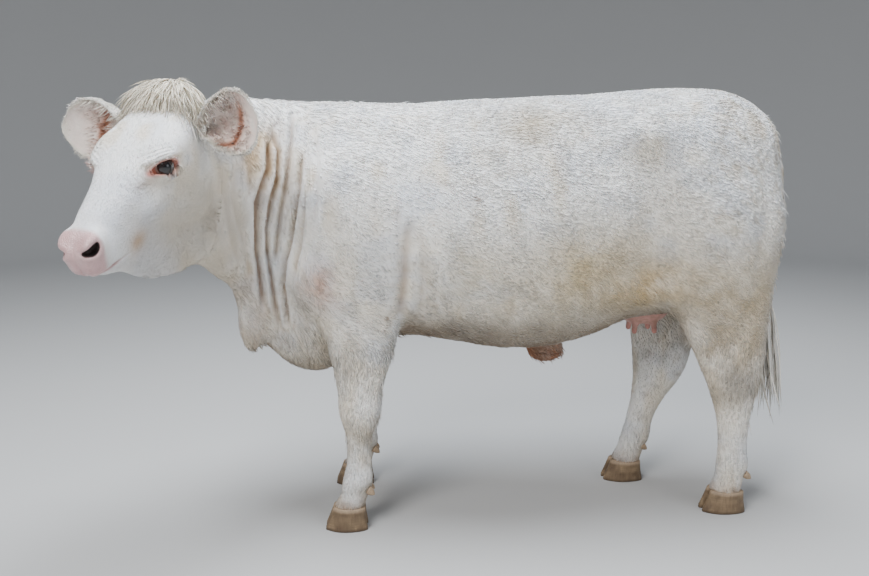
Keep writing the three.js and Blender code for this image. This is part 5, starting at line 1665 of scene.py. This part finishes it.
def dress_ear(name, seed):
    """An ear with hair on its back, a fringe round its rim and long hair in its cup."""
    ear, marks, axis, across, opening = make_ear(name)
    points = to_animal(places(ear))
    s, round_it, inner = marks.T
    aside = across * round_it[:, None]
    lie = axis + aside * 0.5 + spin_noise(points, 0.6, 80)
    tip = rising(s, 0.8, 0.12)
    grow(f"ear_{name}_coat", ear, FUR, "coat", 1 - inner, 0.62 - 0.3 * tip, lie, Density=42000.0, Lift=0.1,
         Seed=seed)
    rim = np.maximum(rising(np.abs(round_it), 0.74, 0.16), rising(s, 0.88, 0.08))
    fringe = axis * 0.85 + aside * 0.5 + opening * 0.2 + spin_noise(points, 0.35, 84)
    fringe_length = (1 - 0.6 * tip) * (0.7 + 0.4 * grain(points, 24, 87))
    grow(f"ear_{name}_fringe", ear, CURLS, "tuft_hair", rim, fringe_length, fringe, Density=70000.0,
         Length=0.018, Width=0.0016, Thickness=0.0009, Lift=0.1, Stray=0.16, Uneven=0.5, Sway=0.3,
         Droop=0.15, Shade=0.08, Segments=3, Seed=seed + 1)
    cup = inner * (1 - 0.8 * canal(marks)) * (1 - rising(s, 0.5, 0.3))
    across_cup = axis * 0.8 - aside * 0.3 + opening * 0.3 + spin_noise(points, 0.4, 90)
    cup_length = 0.7 + 0.6 * grain(points, 20, 93)
    grow(f"ear_{name}_inner_hair", ear, CURLS, "tuft_hair", cup, cup_length, across_cup, Density=20000.0,
         Length=0.032, Width=0.0018, Thickness=0.001, Lift=0.16, Stray=0.2, Uneven=0.6, Sway=0.35,
         Droop=0.15, Shade=0.08, Segments=3, Seed=seed + 2)


dress_ear("left", 41)
dress_ear("right", 46)


# Eyes: a globe with a raised front, its pupil a wide dark oval in a brown iris
EYE_ROWS, EYE_AROUND = 40, 56
EYE_CLEARANCE = 0.3
CORNEA = {"wide": 0.5, "high": 2.2}
IRIS_RADIUS, PUPIL = 23, (14.0, 8.0)


def make_eye(name, side):
    out, level = [unit(ALONG * v[0] + UP * v[1] + SIDE * v[2] * side) for v in (EYE_AXIS, LID_ALONG)]
    upward = np.cross(out, level) * side
    centre = head_point(EYE["a"], EYE["u"], EYE["l"] * side) + out * GLOBE_OUT
    turn = np.linspace(0, 2 * math.pi, EYE_AROUND, endpoint=False)
    rings = []
    for polar in np.linspace(0.02, math.pi - 0.02, EYE_ROWS):
        front = math.exp(-((polar / CORNEA["wide"]) ** 2)) * CORNEA["high"]
        r = GLOBE - EYE_CLEARANCE + front
        ring = centre + out * r * math.cos(polar) + level * (r * math.sin(polar) * np.cos(turn))[:, None]
        rings.append(ring + upward * (r * math.sin(polar) * np.sin(turn))[:, None])

    def tone(points):
        v = points - centre
        x, y, z = v @ level, v @ upward, v @ out
        iris = np.hypot(x, y)
        pupil = np.hypot(x / PUPIL[0], y / PUPIL[1])
        colour = np.tile(EYE_WHITE, (len(points), 1))
        colour = blended(colour, IRIS_BROWN, falling(iris, IRIS_RADIUS, 2.5) * (z > 0))
        edge = rising(iris, IRIS_RADIUS - 6, 3) * falling(iris, IRIS_RADIUS + 0.5, 2)
        colour = blended(colour, IRIS_EDGE, edge * (z > 0))
        return blended(colour, PUPIL_BLACK, falling(pupil, 1.1, 0.16) * (z > 0))

    return shell(f"eyeball_{name}", rings, EYEBALL, tone, (f"eye_{name}",))


make_eye("left", 1)
make_eye("right", -1)

# Hooves: two claws to a foot, with growth rings and a softer band of horn at the coronet
CLAW_STEPS, CLAW_ROWS = 34, 22
CLEFT, WALL_FLATNESS, TOE_TAPER = 2.5, 0.45, 0.35
# Levels of a claw: height, front edge, back edge, width
CLAW_LEVELS = np.array([(0, -24, 8, 45), (10, -23, 7, 46), (38, -11, 2, 45), (69.7, 1, 0, 43)], float)
FOOT_ROW = -2
GROWTH = {"deep": 0.5, "pitch": 0.75}
SOLE_SHRINK = 0.985


def horn_tone(points):
    old = blended(np.tile(HORN_TAN, (len(points), 1)), HORN_BROWN, grain(points, 14, 61))
    ringed = 0.5 + 0.5 * np.sin(points[:, 2] * GROWTH["pitch"] + 3 * grain(points, 30, 62))
    old = blended(old, GROWTH_RING, 0.45 * ringed)
    old = blended(old, CORONET_HORN, rising(points[:, 2], 56, 10) * 0.6)
    return blended(old, WORN_HORN, falling(points[:, 2], 12, 10) * (0.4 + 0.4 * grain(points, 9, 63)))


def make_claw(leg, name, inward):
    stations, side, whole, ground, out, _ = LEGS[leg]
    foot = stations[FOOT_ROW]
    shift = whole + ground
    y = side * (foot[3] + out)
    rings = []
    for z in np.linspace(0, CLAW_LEVELS[-1, 0], CLAW_ROWS):
        fore, hind, width = [np.interp(z, CLAW_LEVELS[:, 0], CLAW_LEVELS[:, k]) for k in (1, 2, 3)]
        bulge = GROWTH["deep"] * math.sin(z * GROWTH["pitch"]) * smooth_step(z / 6) * falling(z, 66, 6)
        turn = np.linspace(0, 2 * math.pi, CLAW_STEPS, endpoint=False)
        wall, tip = np.sin(turn), np.cos(turn)
        wall = np.where(wall < 0, -np.abs(wall) ** WALL_FLATNESS, wall)
        narrow = np.where(tip > 0, 1 - TOE_TAPER * tip**2, 1.0)
        shrink = SOLE_SHRINK if z < 1 else 1.0
        across = CLEFT + (width + bulge) * narrow * shrink * (1 + wall) / 2
        low, high = foot[2] + shift + hind, foot[1] + shift + fore
        x = low + (high - bulge * tip - low) * (1 + tip) / 2
        rings.append(np.stack([x, y + inward * across, np.full(CLAW_STEPS, z)], 1))
    return shell(f"claw_{leg}_{name}", rings, HOOF, horn_tone, (f"hoof_{leg}_{name}",))


DEWCLAW = {"z": 124.0, "apart": 19.0, "reach": 25.5, "radius": 12.0, "taper": 0.9, "set_in": 10.0,
           "rows": 9, "around": 16}


def make_dewclaw(leg, name, inward):
    """A short blunt cone of horn at the back of the fetlock."""
    stations, side, whole, ground, out, _ = LEGS[leg]
    table = np.array(stations, float)[::-1]
    hind = np.interp(DEWCLAW["z"], table[:, 0], table[:, 2]) + whole + ground
    y = side * (table[1, 3] + out) + inward * DEWCLAW["apart"]
    root = np.array([hind - DEWCLAW["set_in"], y, DEWCLAW["z"]])
    axis = unit([0.8, 0.16 * inward, -0.6])
    level = unit(np.cross(axis, [0, 1, 0]))
    aside = np.cross(axis, level)
    turn = np.linspace(0, 2 * math.pi, DEWCLAW["around"], endpoint=False)
    rings = []
    for t in np.linspace(0, 1, DEWCLAW["rows"]):
        r = DEWCLAW["radius"] * (1 - DEWCLAW["taper"] * t**3)
        centre = root + axis * DEWCLAW["reach"] * t
        rings.append(centre + level * (r * np.cos(turn))[:, None] + aside * (r * np.sin(turn))[:, None])
    shell(f"dewclaw_{leg}_{name}", rings, HOOF, horn_tone, ())


for leg_name, leg_row in LEGS.items():
    for part_name, inward in (("outer", leg_row[1]), ("inner", -leg_row[1])):
        make_claw(leg_name, part_name, inward)
        make_dewclaw(leg_name, part_name, inward)

# Udder: a low bowl of bare skin with four short teats
UDDER = {"x": 392.0, "z": 634.0, "long": 88.0, "half": 60.0, "deep": 54.0, "blend": 16.0, "top": 12}
UDDER_GROOVE, UDDER_CROSS = {"deep": 1.6, "wide": 5.0}, {"deep": 0.9, "wide": 6.0}
TEAT = {"radius": 9.5, "long": 26.0, "apart": 30.0, "top": 588.0, "taper": 0.05, "splay": (0.1, 0.08)}
UDDER_LOW, UDDER_BOX, UDDER_CELL = np.array([UDDER["x"] - 110, -84.0, 530.0]), (220, 168, 130), 4.5


def udder_distance(p):
    radii = UDDER["long"], UDDER["half"], UDDER["deep"]
    d = ellipsoid(p[:, 0] - UDDER["x"], p[:, 1], p[:, 2] - UDDER["z"], *radii)
    d = d + UDDER_GROOVE["deep"] * bell(p[:, 1], 0, UDDER_GROOVE["wide"])
    d = d + UDDER_CROSS["deep"] * bell(p[:, 0], UDDER["x"], UDDER_CROSS["wide"])
    for dx in (-1, 1):
        for dy in (-1, 1):
            x, y = p[:, 0] - UDDER["x"] - dx * TEAT["apart"], p[:, 1] - dy * TEAT["apart"]
            run = np.clip(TEAT["top"] - p[:, 2], 0, TEAT["long"])
            z = p[:, 2] - TEAT["top"] + run
            splay_x, splay_y = TEAT["splay"][0] * dx * run, TEAT["splay"][1] * dy * run
            teat = np.sqrt((x - splay_x) ** 2 + (y - splay_y) ** 2 + z**2)
            d = join(d, teat - TEAT["radius"] + TEAT["taper"] * run, UDDER["blend"])
    return np.maximum(d, p[:, 2] - UDDER["z"] - UDDER["top"])


def make_udder():
    points, quads = surface_net(udder_distance, UDDER_LOW, UDDER_LOW + UDDER_BOX, UDDER_CELL)
    for _ in range(2):
        points = evened(points, quads, 0.4)
        points = draw_onto(udder_distance, points, 4.0)
    obj = mesh_object("udder_skin", to_model(points), quads, BARE)
    tone = blended(np.tile(UDDER_PINK, (len(points), 1)), UDDER_BROWN, grain(points, 26, 71))
    tone = blended(tone, UDDER_FLECK, rising(grain(points, 9, 72), 0.6, 0.2) * 0.5)
    tone = blended(tone, TEAT_PINK, falling(points[:, 2], 578, 14))
    store(obj, "tone", "FLOAT_COLOR", tone)
    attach(obj, "root")
    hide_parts("udder")


make_udder()

# Camera, floor and lights
PHOTO_WIDTH = 869
FOCAL_PIXELS = 800.0
CAMERA_PLACE = np.array([-453.7, -2483.9, 1135.0])
CAMERA_DIP = math.radians(9.8)
CAMERA_HEADING = math.radians(4.0)
FILM_WIDTH = 36.0
FLOOR_GREY = (0.5, 0.5, 0.5)
# The floor's flat radius, the radius it curves up with, its wall's top and its facets, in metres
FLOOR = {"flat": 7.0, "rise": 2.6, "top": 6.5, "around": 96}
# Lights: place, what they aim at, width, power and colour
LIGHTS = {
    "key": ((-2.4, -3.4, 4.4), (0, 0, 0.8), 2.6, 270, (1.0, 0.99, 0.97)),
    "fill": ((3.2, -3.4, 2.0), (0, 0, 0.7), 3.4, 50, (0.93, 0.96, 1.0)),
    "top": ((0.2, 0.2, 4.6), (0, 0, 0.8), 2.6, 340, (0.90, 0.95, 1.0)),
}
SKY_COLOUR, SKY_STRENGTH = (0.80, 0.86, 0.94, 1), 0.3


def add_camera():
    data = bpy.data.cameras.new("camera")
    data.sensor_width = FILM_WIDTH
    data.lens = FILM_WIDTH * FOCAL_PIXELS / PHOTO_WIDTH
    obj = bpy.data.objects.new("camera", data)
    bpy.context.scene.collection.objects.link(obj)
    obj.location = Vector(to_model(CAMERA_PLACE))
    obj.rotation_euler = (math.pi / 2 - CAMERA_DIP, 0, -CAMERA_HEADING)
    bpy.context.scene.camera = obj


def add_floor():
    """A wide round floor that curves up into a low wall."""
    flat, rise, top, around = FLOOR.values()
    rows = [(0.02, 0.0), (flat * 0.5, 0.0), (flat, 0.0)]
    for t in np.linspace(0.1, math.pi / 2, 14):
        rows.append((flat + rise * math.sin(t), rise * (1 - math.cos(t))))
    rows.append((flat + rise, top))
    turns = np.linspace(0, 2 * math.pi, around, endpoint=False)
    points = [(r * math.cos(t), r * math.sin(t), z) for r, z in rows for t in turns]
    faces = []
    for low in range(0, (len(rows) - 1) * around, around):
        for k in range(around):
            q = (k + 1) % around
            faces.append((low + k, low + around + k, low + around + q, low + q))
    faces.append(tuple(range(around)))
    material, _, _ = new_material("studio_floor", 0.9, FLOOR_GREY)
    mesh_object("studio_floor", points, faces, material)


def add_area(name, place, aim, size, power, colour):
    data = bpy.data.lights.new(name, "AREA")
    data.shape = "DISK"
    data.size = size
    data.energy = power
    data.color = colour
    obj = bpy.data.objects.new(name, data)
    bpy.context.scene.collection.objects.link(obj)
    obj.location = place
    obj.rotation_euler = (Vector(aim) - Vector(place)).to_track_quat("-Z", "Y").to_euler()


add_camera()
add_floor()
for light_name, light in LIGHTS.items():
    add_area(light_name, *light)
world = bpy.data.worlds.new("studio")
world.use_nodes = True
world.node_tree.nodes["Background"].inputs["Color"].default_value = SKY_COLOUR
world.node_tree.nodes["Background"].inputs["Strength"].default_value = SKY_STRENGTH
bpy.context.scene.world = world
